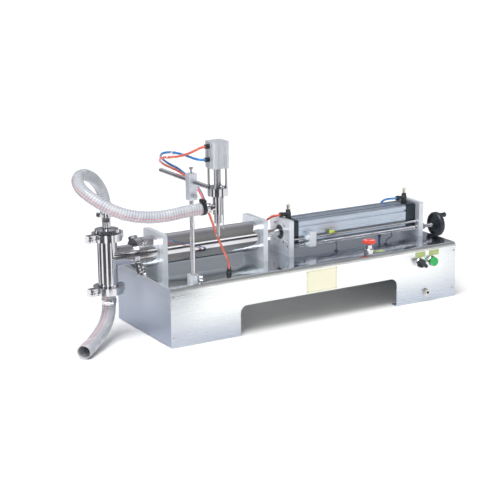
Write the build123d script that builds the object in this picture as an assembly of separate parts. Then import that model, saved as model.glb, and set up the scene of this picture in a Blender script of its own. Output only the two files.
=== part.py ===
"""Piston liquid filler: a bench machine that draws a liquid in and fills it out by the measured stroke.

Millimetres, +Z up, +X to the operator's right, the operator stands on the -Y side.
The origin is the centre of the bench face under the cabinet's four feet holes.
"""
import math
import os
from build123d import *

os.makedirs("parts", exist_ok=True)

# ---- cabinet ----
BASE_LENGTH = 900.0
BASE_DEPTH = 308.0
BASE_HEIGHT = 156.0
SHEET = 2.0
EDGE_RADIUS = 11.0
CUT_OUT_LENGTH = 496.0
CUT_OUT_HEIGHT = 80.0
CUT_OUT_RADIUS = 20.0
FLANGE = 24.0
PANEL_GAP = 0.3
TAB_WIDTH = 16.0
TAB_MARGIN = 10.0
FOOT_HOLE_RADIUS = 4.5
FOOT_HOLES_X = 780.0
FOOT_HOLES_Y = 284.0
PANEL_SCREW_INSET = 7.5
PANEL_SCREW_HEIGHTS = (26.0, 134.0)

# ---- clearances ----
RUNNING = 0.05
LOOSE = 0.3

# ---- liquid cylinder ----
AXIS_Y = 5.0
AXIS_RISE = 60.0
TUBE_RADIUS = 40.0
TUBE_WALL = 2.5
TUBE_LEFT_INSET = 2.0
PLATE = 14.0
LIQUID_PLATE_INSET = 41.0
LIQUID_PLATE_SPAN = 300.0
LIQUID_PLATE_WIDTH = 110.0
LIQUID_PLATE_HEIGHT = 112.0
ROD_RADIUS = 10.0
PISTON_LENGTH = 30.0
END_GAP = 4.0

# ---- air cylinder ----
AIR_PLATE_INSET = 41.0
AIR_PLATE_LEFT = -25.0
AIR_PLATE_WIDTH = 100.0
AIR_PLATE_ABOVE_CAP = 5.5
AIR_SQUARE = 65.0
AIR_BORE_RADIUS = 25.0
AIR_CAP_LEFT = 27.0
AIR_CAP_RIGHT = 34.0
TIE_SQUARE = 46.5

# ---- stroke adjuster ----
SCREW_Y = -35.0
SCREW_RISE = 25.0
SCREW_RADIUS = 5.0
GUIDE_RISE = 43.0
GUIDE_RADIUS = 3.5
SLIDER_LEFT = 33.0
SLIDER_LENGTH = 22.0
HAND_WHEEL_RADIUS = 35.0
HAND_WHEEL_OVERHANG = 21.0

# ---- valve tee ----
TEE_OVERHANG = 96.0
PIPE_RADIUS = 25.5
PIPE_WALL = 1.6
FERRULE_RADIUS = 32.0
FERRULE_RIM = 2.8
FERRULE_LENGTH = 5.0
GASKET = 2.0
LOWER_JOINT = 133.0
UPPER_JOINT = 272.0
BRANCH_OVERHANG = 13.0
CLAMP_RADIUS = 39.0
CLAMP_WIDTH = 19.0
POPPET_LIFT = 6.0
OUTLET_BARB_RADIUS = 12.0
INLET_BARB_RADIUS = 15.8
HOSE_GAP = 0.3

# ---- hoses and air tubes ----
DELIVERY_HOSE = 29.5
SUCTION_HOSE = 37.0
AIR_TUBE = 6.0

# ---- nozzle stand ----
STAND_INSET = (82.0, 33.0)
STAND_ROD_RADIUS = 6.0
SOCKET_RADIUS = 15.0
SOCKET_HEIGHT = 18.0
ROD_BELOW_PLATE = 70.0
BLOCK_WIDTH = 22.0
BLOCK_DEPTH = 24.0
BLOCK_BOTTOM = 369.0
BLOCK_TOP = 436.0
ARM_HEIGHT = 416.0
ARM_RADIUS = 6.0
ARM_BACK = 45.0

# ---- nozzle ----
NOZZLE_Y = -255.0
NOZZLE_SQUARE = 45.0
NOZZLE_CYLINDER = (473.0, 538.0)
NOZZLE_FLANGE = (405.0, 424.0)
NOZZLE_BODY_BOTTOM = 358.0
NOZZLE_SLEEVE_BOTTOM = 336.0
NOZZLE_TIP = 303.0
NOZZLE_RADIUS = 13.0
NOZZLE_LIFT = 10.0
NOZZLE_INLET_HEIGHT = 376.0
PILLAR_PITCH = 31.0

# ---- controls ----
BUTTON_INSET = 85.0
CONTROL_PITCH = 41.0
CONTROL_HEIGHT = 114.0
BUTTON_TRAVEL = 3.5
STOP_X = 173.0
STOP_INSET = 27.0
STOP_TRAVEL = 4.0
INLET_PORT_INSET = 102.0
INLET_PORT_HEIGHT = 27.0

# ---- worked out from the sizes above ----
TOP = BASE_HEIGHT
FRONT = -BASE_DEPTH / 2
LEFT_END = -BASE_LENGTH / 2
RIGHT_END = BASE_LENGTH / 2
TUBE_LEFT = LEFT_END + TUBE_LEFT_INSET
LIQUID_PLATES = (LEFT_END + LIQUID_PLATE_INSET, LEFT_END + LIQUID_PLATE_INSET + LIQUID_PLATE_SPAN)
AIR_PLATES = (AIR_PLATE_LEFT, RIGHT_END - AIR_PLATE_INSET)
AIR_PLATE_HEIGHT = AXIS_RISE + AIR_SQUARE / 2 + AIR_PLATE_ABOVE_CAP
HAND_WHEEL_X = RIGHT_END + HAND_WHEEL_OVERHANG
TEE_X = LEFT_END - TEE_OVERHANG
BRANCH_JOINT = LEFT_END - BRANCH_OVERHANG
STAND_X = LEFT_END + STAND_INSET[0]
STAND_Y = FRONT + STAND_INSET[1]
STOP_Y = FRONT + STOP_INSET
BUTTON_X = RIGHT_END - BUTTON_INSET
SELECTOR_X = BUTTON_X - CONTROL_PITCH
INLET_PORT_X = RIGHT_END - INLET_PORT_INSET
AXIS_Z = TOP + AXIS_RISE
SCREW_Z = TOP + SCREW_RISE
GUIDE_Z = TOP + GUIDE_RISE
BORE = TUBE_RADIUS - TUBE_WALL
TUBE_RIGHT = LIQUID_PLATES[1] + PLATE / 2 - 3
LIQUID_PISTON_LEFT = TUBE_LEFT + END_GAP
BARREL_LEFT = AIR_PLATES[0] + PLATE / 2 + AIR_CAP_LEFT
BARREL_RIGHT = AIR_PLATES[1] - PLATE / 2 - AIR_CAP_RIGHT
AIR_PISTON_LEFT = BARREL_LEFT + END_GAP


def turned(outline, axis, station, first, second, sign=1):
    """Body of revolution from (distance, radius) points; the two last places are the other coordinates."""
    corners = [(radius, along) for along, radius in outline]
    body = revolve(Plane.XZ * make_face(Polyline(*corners, close=True)), Axis.Z)
    turn = {"x": (0, 90 * sign, 0), "y": (-90 * sign, 0, 0), "z": (0 if sign > 0 else 180, 0, 0)}[axis]
    spot = {"x": (station, first, second), "y": (first, station, second), "z": (first, second, station)}[axis]
    return Location(spot, turn) * body


def bar(axis, radius, start, end, first, second):
    return turned([(0, 0), (0, radius), (end - start, radius), (end - start, 0)], axis, start, first, second)


def pipe(axis, outer, inner, start, end, first, second):
    return bar(axis, outer, start, end, first, second) - bar(axis, inner, start - 1, end + 1, first, second)


def block(x0, x1, y0, y1, z0, z1):
    return Pos((x0 + x1) / 2, (y0 + y1) / 2, (z0 + z1) / 2) * Box(x1 - x0, y1 - y0, z1 - z0)


def save(node, *pieces):
    """Write one node; several pieces are separate solids of that node."""
    solids = [solid for piece in pieces for solid in piece.solids()]
    export_step(Compound(solids) if len(solids) > 1 else solids[0], f"parts/{node}.step")


def cap_screw(axis, station, first, second, sign, radius, length):
    """Socket screw whose head sits at the station and whose shank goes along the axis with the sign."""
    outline = [(-0.9 * radius, 0), (-0.9 * radius, 1.5 * radius), (0, 1.7 * radius), (0, radius)]
    outline += [(length, radius), (length, 0)]
    socket = bar("z", 0.75 * radius, -0.9 * radius - 1, -0.35 * radius, 0, 0)
    turn = {"x": (0, 90 * sign, 0), "y": (-90 * sign, 0, 0), "z": (0 if sign > 0 else 180, 0, 0)}[axis]
    spot = {"x": (station, first, second), "y": (first, station, second), "z": (first, second, station)}[axis]
    return Location(spot, turn) * (turned(outline, "z", 0, 0, 0) - socket)


# ---- cabinet: one bent sheet, open below, with bench flanges turned in under its four feet ----
STOP_HOLE = 8.0
GLAND_HOLE = 4.0
PORT_HOLE = 6.5
CONTROL_HOLE = 11.0
CABLE_HOLES = ((112.0, -58.0), (270.0, -69.0))
TUBE_HOLES = ((-256.0, -109.0), (-248.0, -95.0), (-46.0, 62.0), (342.0, 62.0))
shell = block(-BASE_LENGTH / 2, BASE_LENGTH / 2, FRONT, -FRONT, 0, TOP)
shell = fillet(shell.edges().filter_by(Axis.X).group_by(Axis.Z)[-1], EDGE_RADIUS)
hollow = block(-BASE_LENGTH, BASE_LENGTH, FRONT + SHEET, -FRONT - SHEET, SHEET, TOP - SHEET)
hollow = fillet(hollow.edges().filter_by(Axis.X).group_by(Axis.Z)[-1], EDGE_RADIUS - SHEET)
shell -= hollow
shell -= block(-BASE_LENGTH, BASE_LENGTH, FRONT + FLANGE, -FRONT - FLANGE, -1, SHEET + 1)
half_cut = CUT_OUT_LENGTH / 2
cut_out = block(-half_cut, half_cut, FRONT - 1, -FRONT + 1, -CUT_OUT_RADIUS, CUT_OUT_HEIGHT)
cut_out = fillet(cut_out.edges().filter_by(Axis.Y).group_by(Axis.Z)[-1], CUT_OUT_RADIUS)
shell -= cut_out
for x in (-FOOT_HOLES_X / 2, FOOT_HOLES_X / 2):
    for y in (-FOOT_HOLES_Y / 2, FOOT_HOLES_Y / 2):
        shell -= bar("z", FOOT_HOLE_RADIUS, -1, SHEET + 1, x, y)
for x, y in CABLE_HOLES + TUBE_HOLES:
    shell -= bar("z", GLAND_HOLE, TOP - SHEET - 1, TOP + 1, x, y)
shell -= bar("z", STOP_HOLE, TOP - SHEET - 1, TOP + 1, STOP_X, STOP_Y)
shell -= bar("z", STAND_ROD_RADIUS + 1, TOP - SHEET - 1, TOP + 1, STAND_X, STAND_Y)
for x in (SELECTOR_X, BUTTON_X):
    shell -= bar("y", CONTROL_HOLE, FRONT - 1, FRONT + SHEET + 1, x, CONTROL_HEIGHT)
shell -= bar("y", PORT_HOLE, FRONT - 1, FRONT + SHEET + 1, INLET_PORT_X, INLET_PORT_HEIGHT)

screws = []
end_panels = []
for side in (-1, 1):
    outer, inner = side * BASE_LENGTH / 2, side * (BASE_LENGTH / 2 - SHEET)
    panel = block(min(outer, inner), max(outer, inner), FRONT + SHEET + PANEL_GAP,
                  -FRONT - SHEET - PANEL_GAP, SHEET + PANEL_GAP, TOP - SHEET - PANEL_GAP)
    panel = fillet(panel.edges().filter_by(Axis.X).group_by(Axis.Z)[-1], EDGE_RADIUS - SHEET)
    tab_end = inner - side * TAB_WIDTH
    for wall in (-1, 1):
        face = wall * (-FRONT - SHEET - PANEL_GAP)
        back = face - wall * SHEET
        panel += block(min(inner, tab_end), max(inner, tab_end), min(face, back), max(face, back),
                       TAB_MARGIN, TOP - EDGE_RADIUS - TAB_MARGIN)
        for height in PANEL_SCREW_HEIGHTS:
            place = side * (BASE_LENGTH / 2 - PANEL_SCREW_INSET)
            hole = bar("y", 2 + RUNNING, min(face, back) - 5, max(face, back) + 5, place, height)
            panel -= hole
            shell -= hole
            screws.append(cap_screw("y", -wall * FRONT, place, height, -wall, 2.0, 8.0))
    end_panels.append(panel)

# ---- support plates, screwed down by their feet ----
liquid_plates = []
for station in LIQUID_PLATES:
    plate = block(station - PLATE / 2, station + PLATE / 2, AXIS_Y - LIQUID_PLATE_WIDTH / 2,
                  AXIS_Y + LIQUID_PLATE_WIDTH / 2, TOP, TOP + LIQUID_PLATE_HEIGHT)
    liquid_plates.append(fillet(plate.edges().filter_by(Axis.X).group_by(Axis.Z)[-1], 8))
liquid_plates[0] -= bar("x", TUBE_RADIUS + RUNNING, LIQUID_PLATES[0] - PLATE, LIQUID_PLATES[0] + PLATE,
                        AXIS_Y, AXIS_Z)
liquid_plates[1] -= bar("x", TUBE_RADIUS + RUNNING, LIQUID_PLATES[1] - PLATE, TUBE_RIGHT, AXIS_Y, AXIS_Z)
BUSH_RADIUS = 17.0
BUSH_FLANGE = 24.0
liquid_plates[1] -= bar("x", BUSH_RADIUS + RUNNING, LIQUID_PLATES[1] - PLATE, LIQUID_PLATES[1] + PLATE,
                        AXIS_Y, AXIS_Z)

air_plates = []
GLAND_RADIUS = 20.0
for station in AIR_PLATES:
    plate = block(station - PLATE / 2, station + PLATE / 2, AXIS_Y - 1 - AIR_PLATE_WIDTH / 2,
                  AXIS_Y - 1 + AIR_PLATE_WIDTH / 2, TOP, TOP + AIR_PLATE_HEIGHT)
    plate = fillet(plate.edges().filter_by(Axis.X).group_by(Axis.Z)[-1], 3)
    plate -= bar("x", SCREW_RADIUS + RUNNING, station - PLATE, station + PLATE, SCREW_Y, SCREW_Z)
    plate -= bar("x", GUIDE_RADIUS + RUNNING, station - PLATE, station + PLATE, SCREW_Y, GUIDE_Z)
    air_plates.append(plate)
air_plates[0] -= bar("x", GLAND_RADIUS + RUNNING, AIR_PLATES[0] - PLATE, AIR_PLATES[0] + PLATE,
                     AXIS_Y, AXIS_Z)

MOUNT_SCREW = 3.0
PLATE_SCREW = 2.5
for side, face in ((-1, AIR_PLATES[0] - PLATE / 2), (1, AIR_PLATES[1] + PLATE / 2)):
    for y in (AXIS_Y - TIE_SQUARE / 2, AXIS_Y + TIE_SQUARE / 2):
        for z in (AXIS_Z - TIE_SQUARE / 2, AXIS_Z + TIE_SQUARE / 2):
            screws.append(cap_screw("x", face, y, z, -side, MOUNT_SCREW, PLATE - 1))
            hole = bar("x", MOUNT_SCREW + RUNNING, min(face, face - side * PLATE), max(face, face - side * PLATE),
                       y, z)
            air_plates[0 if side < 0 else 1] -= hole
for plates, stations, centre, width in (
    (liquid_plates, LIQUID_PLATES, AXIS_Y, LIQUID_PLATE_WIDTH),
    (air_plates, AIR_PLATES, AXIS_Y - 1, AIR_PLATE_WIDTH),
):
    for index, station in enumerate(stations):
        for y in (centre - width / 2 + 9, centre + width / 2 - 9):
            plates[index] -= bar("z", PLATE_SCREW + RUNNING, TOP - 1, TOP + 12, station, y)
            shell -= bar("z", PLATE_SCREW + RUNNING, TOP - SHEET - 1, TOP + 1, station, y)
            screws.append(cap_screw("z", TOP - SHEET, station, y, 1, PLATE_SCREW, 12.0))

save("base_shell", shell)
save("end_panels", *end_panels)
save("machine_screws", *screws)
save("liquid_supports", *liquid_plates)
save("air_supports", *air_plates)

# ---- plates that carry the markings: a name plate and three small labels ----
NAME_PLATE_WIDTH = 97.0
NAME_PLATE_HEIGHT = 62.0
NAME_PLATE_X = 1.5
LABEL = 0.8
labels = [block(NAME_PLATE_X - NAME_PLATE_WIDTH / 2, NAME_PLATE_X + NAME_PLATE_WIDTH / 2, FRONT - LABEL, FRONT,
                CUT_OUT_HEIGHT + 2, CUT_OUT_HEIGHT + 2 + NAME_PLATE_HEIGHT)]
LABEL_HEIGHT = 15.5
BEZEL_RADIUS = 14.5
label_bottom = CONTROL_HEIGHT + BEZEL_RADIUS + 0.5
for x in (SELECTOR_X + 2.5, BUTTON_X + 8):
    labels.append(block(x - 17, x + 17, FRONT - LABEL, FRONT, label_bottom, label_bottom + LABEL_HEIGHT))
labels.append(block(STOP_X + 17, STOP_X + 51, STOP_Y - 5, STOP_Y + 13, TOP, TOP + LABEL))
save("marking_plates", *labels)

# ---- liquid cylinder ----
save("liquid_tube", pipe("x", TUBE_RADIUS, BORE, TUBE_LEFT, TUBE_RIGHT, AXIS_Y, AXIS_Z))

ferrule_half = GASKET / 2
neck_bore = PIPE_RADIUS - PIPE_WALL


def ferrule(axis, joint, sign, first, second, neck_end, bore):
    """Clamp ferrule that starts half a gasket from the joint and runs on as a pipe to neck_end."""
    outline = [(ferrule_half, bore), (ferrule_half, FERRULE_RADIUS), (ferrule_half + FERRULE_RIM, FERRULE_RADIUS)]
    outline += [(ferrule_half + FERRULE_LENGTH, PIPE_RADIUS), (neck_end, PIPE_RADIUS), (neck_end, bore)]
    return turned(outline, axis, joint, first, second, sign)


HEAD_THICKNESS = 5.0
head_reach = TUBE_LEFT - BRANCH_JOINT
head = ferrule("x", BRANCH_JOINT, 1, AXIS_Y, AXIS_Z, head_reach, neck_bore)
head += pipe("x", TUBE_RADIUS, neck_bore, TUBE_LEFT - HEAD_THICKNESS, TUBE_LEFT, AXIS_Y, AXIS_Z)
save("liquid_head", head)

# ---- rod bushes: one closes the liquid cylinder, one guides the rod into the air cylinder ----
liquid_bush = bar("x", BUSH_RADIUS, TUBE_RIGHT - 10, LIQUID_PLATES[1] + PLATE / 2, AXIS_Y, AXIS_Z)
liquid_bush += bar("x", BUSH_FLANGE, LIQUID_PLATES[1] + PLATE / 2, LIQUID_PLATES[1] + PLATE / 2 + 5,
                   AXIS_Y, AXIS_Z)
liquid_bush -= bar("x", ROD_RADIUS + RUNNING, -200, 50, AXIS_Y, AXIS_Z)
air_bush = pipe("x", GLAND_RADIUS, ROD_RADIUS + RUNNING, AIR_PLATES[0] - PLATE / 2 + 2,
                AIR_PLATES[0] + PLATE / 2, AXIS_Y, AXIS_Z)
save("rod_bushes", liquid_bush, air_bush)

# ---- moving drive: liquid piston, rod with its nuts, air piston, seals ----
SEAL_GROOVE = 2.0
SEAL_WIDTH = 4.0
NUT_RADIUS = 13.0


def piston(left, length, radius, seals):
    body = pipe("x", radius, ROD_RADIUS + RUNNING, left, left + length, AXIS_Y, AXIS_Z)
    rings = []
    for seal in seals:
        start = left + seal
        groove = pipe("x", radius + 1, radius - SEAL_GROOVE, start, start + SEAL_WIDTH, AXIS_Y, AXIS_Z)
        body -= groove
        rings.append(pipe("x", radius + 0.1, radius - SEAL_GROOVE + RUNNING, start + RUNNING,
                          start + SEAL_WIDTH - RUNNING, AXIS_Y, AXIS_Z))
    return body, rings


LIQUID_PISTON_CLEARANCE = 0.25
liquid_piston, liquid_rings = piston(LIQUID_PISTON_LEFT, PISTON_LENGTH, BORE - LIQUID_PISTON_CLEARANCE, (5, 20))
air_piston, air_rings = piston(AIR_PISTON_LEFT, PISTON_LENGTH, AIR_BORE_RADIUS - LIQUID_PISTON_CLEARANCE, (4, 21))
save("liquid_piston", liquid_piston)
save("air_piston", air_piston)
save("piston_seals", *liquid_rings, *air_rings)
rod_left = LIQUID_PISTON_LEFT + 2
rod_right = AIR_PISTON_LEFT + PISTON_LENGTH - 2
drive = bar("x", ROD_RADIUS, rod_left, rod_right, AXIS_Y, AXIS_Z)
shoulder = pipe("x", NUT_RADIUS, ROD_RADIUS, LIQUID_PISTON_LEFT + PISTON_LENGTH, LIQUID_PISTON_LEFT + PISTON_LENGTH + 8,
                AXIS_Y, AXIS_Z)
save("piston_rod", drive, shoulder)

# ---- air cylinder ----
half_square = AIR_SQUARE / 2
barrel = block(BARREL_LEFT, BARREL_RIGHT, AXIS_Y - half_square, AXIS_Y + half_square,
               AXIS_Z - half_square, AXIS_Z + half_square)
barrel = fillet(barrel.edges().filter_by(Axis.X), 5)
barrel -= bar("x", AIR_BORE_RADIUS, BARREL_LEFT - 1, BARREL_RIGHT + 1, AXIS_Y, AXIS_Z)
GROOVE = 3.0
SLOT_OFFSET = 16.0
for offset in (-SLOT_OFFSET, SLOT_OFFSET):
    for face in (-1, 1):
        edge = face * half_square
        near, far = min(edge - face * GROOVE, edge + face), max(edge - face * GROOVE, edge + face)
        barrel -= block(BARREL_LEFT - 1, BARREL_RIGHT + 1, AXIS_Y + offset - 3, AXIS_Y + offset + 3,
                        AXIS_Z + near, AXIS_Z + far)
        barrel -= block(BARREL_LEFT - 1, BARREL_RIGHT + 1, AXIS_Y + near, AXIS_Y + far,
                        AXIS_Z + offset - 3, AXIS_Z + offset + 3)
save("air_barrel", barrel)

VALVE_BASE = 5.0
air_ends = []
ports = []
for start, end in ((BARREL_LEFT - AIR_CAP_LEFT, BARREL_LEFT), (BARREL_RIGHT, BARREL_RIGHT + AIR_CAP_RIGHT)):
    cap = block(start, end, AXIS_Y - half_square, AXIS_Y + half_square, AXIS_Z - half_square,
                AXIS_Z + half_square)
    cap = fillet(cap.edges().filter_by(Axis.X), 6)
    middle = (start + end) / 2
    ports.append(middle)
    cap -= bar("z", VALVE_BASE, AXIS_Z + half_square - 8, AXIS_Z + half_square + 1, middle, AXIS_Y)
    air_ends.append(cap)
air_ends[0] -= bar("x", ROD_RADIUS + 0.5, BARREL_LEFT - AIR_CAP_LEFT - 1, BARREL_LEFT + 1, AXIS_Y, AXIS_Z)
save("air_end_caps", *air_ends)

# ---- speed control valves: an elbow body on each cylinder end, with a brass needle on top ----
VALVE_RADIUS = 8.0
VALVE_RISE = 26.0
ELBOW_RISE = 14.0
NEEDLE_RADIUS = 4.5
speed_valves = []
cap_top = AXIS_Z + half_square
for name, x in zip(("needle_left", "needle_right"), ports):
    body = bar("z", VALVE_BASE - RUNNING, cap_top - 7, cap_top, x, AXIS_Y)
    body += turned([(0, 0), (0, VALVE_RADIUS), (18, VALVE_RADIUS), (20, 6.5), (VALVE_RISE, 6.5),
                    (VALVE_RISE, 0)], "z", cap_top, x, AXIS_Y)
    elbow_z = cap_top + ELBOW_RISE
    body += turned([(0, 0), (0, 5.5), (18, 5.5), (18, 7), (26, 7), (26, 0)], "x", x, AXIS_Y, elbow_z, -1)
    body -= bar("z", 2.5 + RUNNING, elbow_z - 3, cap_top + VALVE_RISE + 1, x, AXIS_Y)
    body -= bar("x", AIR_TUBE / 2 + RUNNING, x - 40, x - 14, AXIS_Y, elbow_z)
    speed_valves.append(body)
    head_z = cap_top + VALVE_RISE + 3
    needle = bar("z", 2.5, elbow_z - 2, head_z, x, AXIS_Y)
    needle += turned([(0, 0), (0, NEEDLE_RADIUS), (11, NEEDLE_RADIUS), (12.5, 3.2), (12.5, 0)], "z", head_z,
                     x, AXIS_Y)
    needle -= block(x - 6, x + 6, AXIS_Y - 0.6, AXIS_Y + 0.6, head_z + 11, head_z + 14)
    save(name, needle)
save("speed_valves", *speed_valves)

# ---- stroke adjuster: lead screw, guide rod, slider with two bushes, hand wheel with a spinning knob ----
screw_left = AIR_PLATES[0] - PLATE / 2 + 1
WHEEL_THICKNESS = 14.0
screw_right = HAND_WHEEL_X + WHEEL_THICKNESS / 2
lead = bar("x", SCREW_RADIUS, screw_left, screw_right, SCREW_Y, SCREW_Z)
collar_left = AIR_PLATES[1] + PLATE / 2 + LOOSE
lead += pipe("x", 9.0, SCREW_RADIUS - 0.5, collar_left, collar_left + 10, SCREW_Y, SCREW_Z)
inner_collar = AIR_PLATES[1] - PLATE / 2 - LOOSE
lead += pipe("x", 6.8, SCREW_RADIUS - 0.5, inner_collar - 6, inner_collar, SCREW_Y, SCREW_Z)
save("lead_screw", lead)
save("guide_rod", bar("x", GUIDE_RADIUS, screw_left, AIR_PLATES[1] + PLATE / 2 - 1, SCREW_Y, GUIDE_Z))

slider_top = GUIDE_Z + 17
slider = block(SLIDER_LEFT, SLIDER_LEFT + SLIDER_LENGTH, SCREW_Y - 10, SCREW_Y + 6.5, SCREW_Z - 7, slider_top)
slider = chamfer(slider.edges().filter_by(Axis.X), 1)
BUSH = 6.8
bushes = []
for z, radius in ((SCREW_Z, SCREW_RADIUS), (GUIDE_Z, GUIDE_RADIUS)):
    slider -= bar("x", radius + RUNNING, SLIDER_LEFT - 1, SLIDER_LEFT + SLIDER_LENGTH + 1, SCREW_Y, z)
    bushes.append(pipe("x", BUSH, radius + RUNNING, SLIDER_LEFT - 9, SLIDER_LEFT, SCREW_Y, z))
save("slider_block", slider, *bushes)

WHEEL_HUB = 12.0
KNOB_REACH = 24.0
wheel_left = HAND_WHEEL_X - WHEEL_THICKNESS / 2
RIM = 6.5
web = (4, WHEEL_THICKNESS - 4)
wheel_half = [(-8, 0), (-8, WHEEL_HUB), (web[0], WHEEL_HUB), (web[0], HAND_WHEEL_RADIUS - RIM),
              (0, HAND_WHEEL_RADIUS - RIM), (0, HAND_WHEEL_RADIUS - 2), (3, HAND_WHEEL_RADIUS),
              (WHEEL_THICKNESS - 3, HAND_WHEEL_RADIUS), (WHEEL_THICKNESS, HAND_WHEEL_RADIUS - 2),
              (WHEEL_THICKNESS, HAND_WHEEL_RADIUS - RIM), (web[1], HAND_WHEEL_RADIUS - RIM), (web[1], WHEEL_HUB),
              (WHEEL_THICKNESS, WHEEL_HUB), (WHEEL_THICKNESS, 0)]
wheel = turned(wheel_half, "x", wheel_left, SCREW_Y, SCREW_Z)
wheel -= bar("x", SCREW_RADIUS + RUNNING, wheel_left - 20, wheel_left + WHEEL_THICKNESS + 1, SCREW_Y, SCREW_Z)
pin_y, pin_z = SCREW_Y, SCREW_Z + KNOB_REACH
wheel += bar("x", 3.0, wheel_left + 5, wheel_left + 38, pin_y, pin_z)
save("hand_wheel", wheel)
knob_left = wheel_left + WHEEL_THICKNESS + 1
knob = turned([(0, 3 + RUNNING), (0, 6.5), (4, 7.5), (14, 6.0), (22, 7.5), (25, 5.5), (25, 0), (24, 0),
               (24, 3 + RUNNING)], "x", knob_left, pin_y, pin_z)
save("crank_knob", knob)

# ---- stroke sensors: two small switches in the barrel's lower front groove ----
SENSORS = (100.0, 290.0)
SENSOR = 5.4
sensor_z = AXIS_Z - half_square
sensors = []
for x in SENSORS:
    sensors.append(block(x - 14, x + 14, AXIS_Y - SLOT_OFFSET - SENSOR / 2, AXIS_Y - SLOT_OFFSET + SENSOR / 2,
                         sensor_z - SENSOR / 2, sensor_z + SENSOR / 2))
save("stroke_sensors", *sensors)

# ---- valve tee ----
tee_low = LOWER_JOINT + ferrule_half
tee_high = UPPER_JOINT - ferrule_half
tee = ferrule("z", LOWER_JOINT, 1, TEE_X, AXIS_Y, UPPER_JOINT - LOWER_JOINT - 4, neck_bore)
tee += ferrule("z", UPPER_JOINT, -1, TEE_X, AXIS_Y, UPPER_JOINT - LOWER_JOINT - 4, neck_bore)
tee += ferrule("x", BRANCH_JOINT, -1, AXIS_Y, AXIS_Z, BRANCH_JOINT - TEE_X, neck_bore)
tee -= bar("z", neck_bore, tee_low - 1, tee_high + 1, TEE_X, AXIS_Y)
tee -= bar("x", neck_bore, TEE_X, BRANCH_JOINT, AXIS_Y, AXIS_Z)
save("tee_body", tee)

gaskets = []
clamps = []
CLAMP_GAP = 2.0
WING_BOLT = 3.0
WING_REACH = 14.5
joints = (
    ("wing_nut_upper", "z", UPPER_JOINT, TEE_X, AXIS_Y, 190.0, 0),
    ("wing_nut_lower", "z", LOWER_JOINT, TEE_X, AXIS_Y, 190.0, 0),
    ("wing_nut_branch", "x", BRANCH_JOINT, AXIS_Y, AXIS_Z, -30.0, 180),
)


def clamp_at(station, axis, first, second, angle, flip):
    """Place of a clamp built around Z: its opening is turned to the angle about its own axis."""
    turned_over = Location((0, 0, 0), (0, 0, angle)) * Location((0, 0, 0), (flip, 0, 0))
    if axis == "z":
        return Location((first, second, station)) * turned_over
    return Location((station, first, second), (0, 90, 0)) * turned_over


half_width = CLAMP_WIDTH / 2
groove_half = ferrule_half + FERRULE_LENGTH + 0.6
ring = pipe("z", CLAMP_RADIUS, PIPE_RADIUS + 0.6, -half_width, half_width, 0, 0)
ring -= turned([(-groove_half, 0), (-groove_half, PIPE_RADIUS + 0.7),
                (-ferrule_half - FERRULE_RIM - 0.3, FERRULE_RADIUS + LOOSE),
                (ferrule_half + FERRULE_RIM + 0.3, FERRULE_RADIUS + LOOSE), (groove_half, PIPE_RADIUS + 0.7),
                (groove_half, 0)], "z", 0, 0, 0)
bolt_x = CLAMP_RADIUS + WING_REACH
lug = block(CLAMP_RADIUS - 4, bolt_x + 7, -9, 9, -half_width, half_width)
hinge = block(-CLAMP_RADIUS - 7, -CLAMP_RADIUS + 4, -8, 8, -half_width, half_width)
halves = (ring + lug + hinge) - block(-60, 60, -CLAMP_GAP / 2, CLAMP_GAP / 2, -20, 20)
halves -= bar("y", WING_BOLT + 0.4, -20, 20, bolt_x, 0)
halves -= bar("z", 2.5 + RUNNING, -20, 20, -CLAMP_RADIUS - 2, 0)
pin = bar("z", 2.5, -half_width, half_width, -CLAMP_RADIUS - 2, 0)
bolt = bar("y", WING_BOLT, -13, 22, bolt_x, 0) + bar("y", 5.5, -13, -9.3, bolt_x, 0)
wing = pipe("y", 7.0, WING_BOLT + RUNNING, 9.3, 19, bolt_x, 0)
for side in (-1, 1):
    leaf = block(bolt_x + side * 10 - 4, bolt_x + side * 10 + 4, 13, 25, -1.5, 1.5)
    wing += fillet(leaf.edges().filter_by(Axis.Z), 2)
for name, axis, station, first, second, angle, flip in joints:
    gaskets.append(pipe(axis, FERRULE_RADIUS, neck_bore, station - ferrule_half, station + ferrule_half,
                        first, second))
    place = clamp_at(station, axis, first, second, angle, flip)
    clamps += [place * piece for piece in (halves, pin, bolt)]
    save(name, place * wing)
save("clamp_gaskets", *gaskets)
save("tri_clamps", *clamps)

# ---- hose barbs: a valve seat below, a spring stop and a barbed neck above ----
SEAT_RADIUS = 15.0
POPPET_RADIUS = 19.0


def barbs(start, length, radius, count):
    """Outline of a barbed neck: saw-tooth ridges that taper towards its open end."""
    pitch = length / count
    outline = []
    for step in range(count):
        low = start + step * pitch
        outline += [(low, radius - 0.9), (low + 0.6, radius)]
    return outline + [(start + length, radius - 0.9)]


OUTLET_COLLAR = (11.0, 19.0)
OUTLET_TOP = 63.0
upper = [(ferrule_half, 9.5), (ferrule_half, FERRULE_RADIUS), (ferrule_half + FERRULE_RIM, FERRULE_RADIUS),
         (ferrule_half + FERRULE_LENGTH, PIPE_RADIUS), (OUTLET_COLLAR[0], PIPE_RADIUS),
         (OUTLET_COLLAR[0], FERRULE_RADIUS), (OUTLET_COLLAR[1], FERRULE_RADIUS - 1.5),
         (OUTLET_COLLAR[1] + 1.5, 14), (OUTLET_COLLAR[1] + 1.5, OUTLET_BARB_RADIUS - 0.9)]
upper += barbs(38, OUTLET_TOP - 38, OUTLET_BARB_RADIUS, 4) + [(OUTLET_TOP, 9.5)]
outlet_barb = turned(upper, "z", UPPER_JOINT, TEE_X, AXIS_Y)
INLET_TOP = 42.0
lower = [(ferrule_half, 13), (ferrule_half, FERRULE_RADIUS), (ferrule_half + FERRULE_RIM, FERRULE_RADIUS),
         (ferrule_half + FERRULE_LENGTH, PIPE_RADIUS), (12, PIPE_RADIUS), (14, INLET_BARB_RADIUS - 0.9)]
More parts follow.
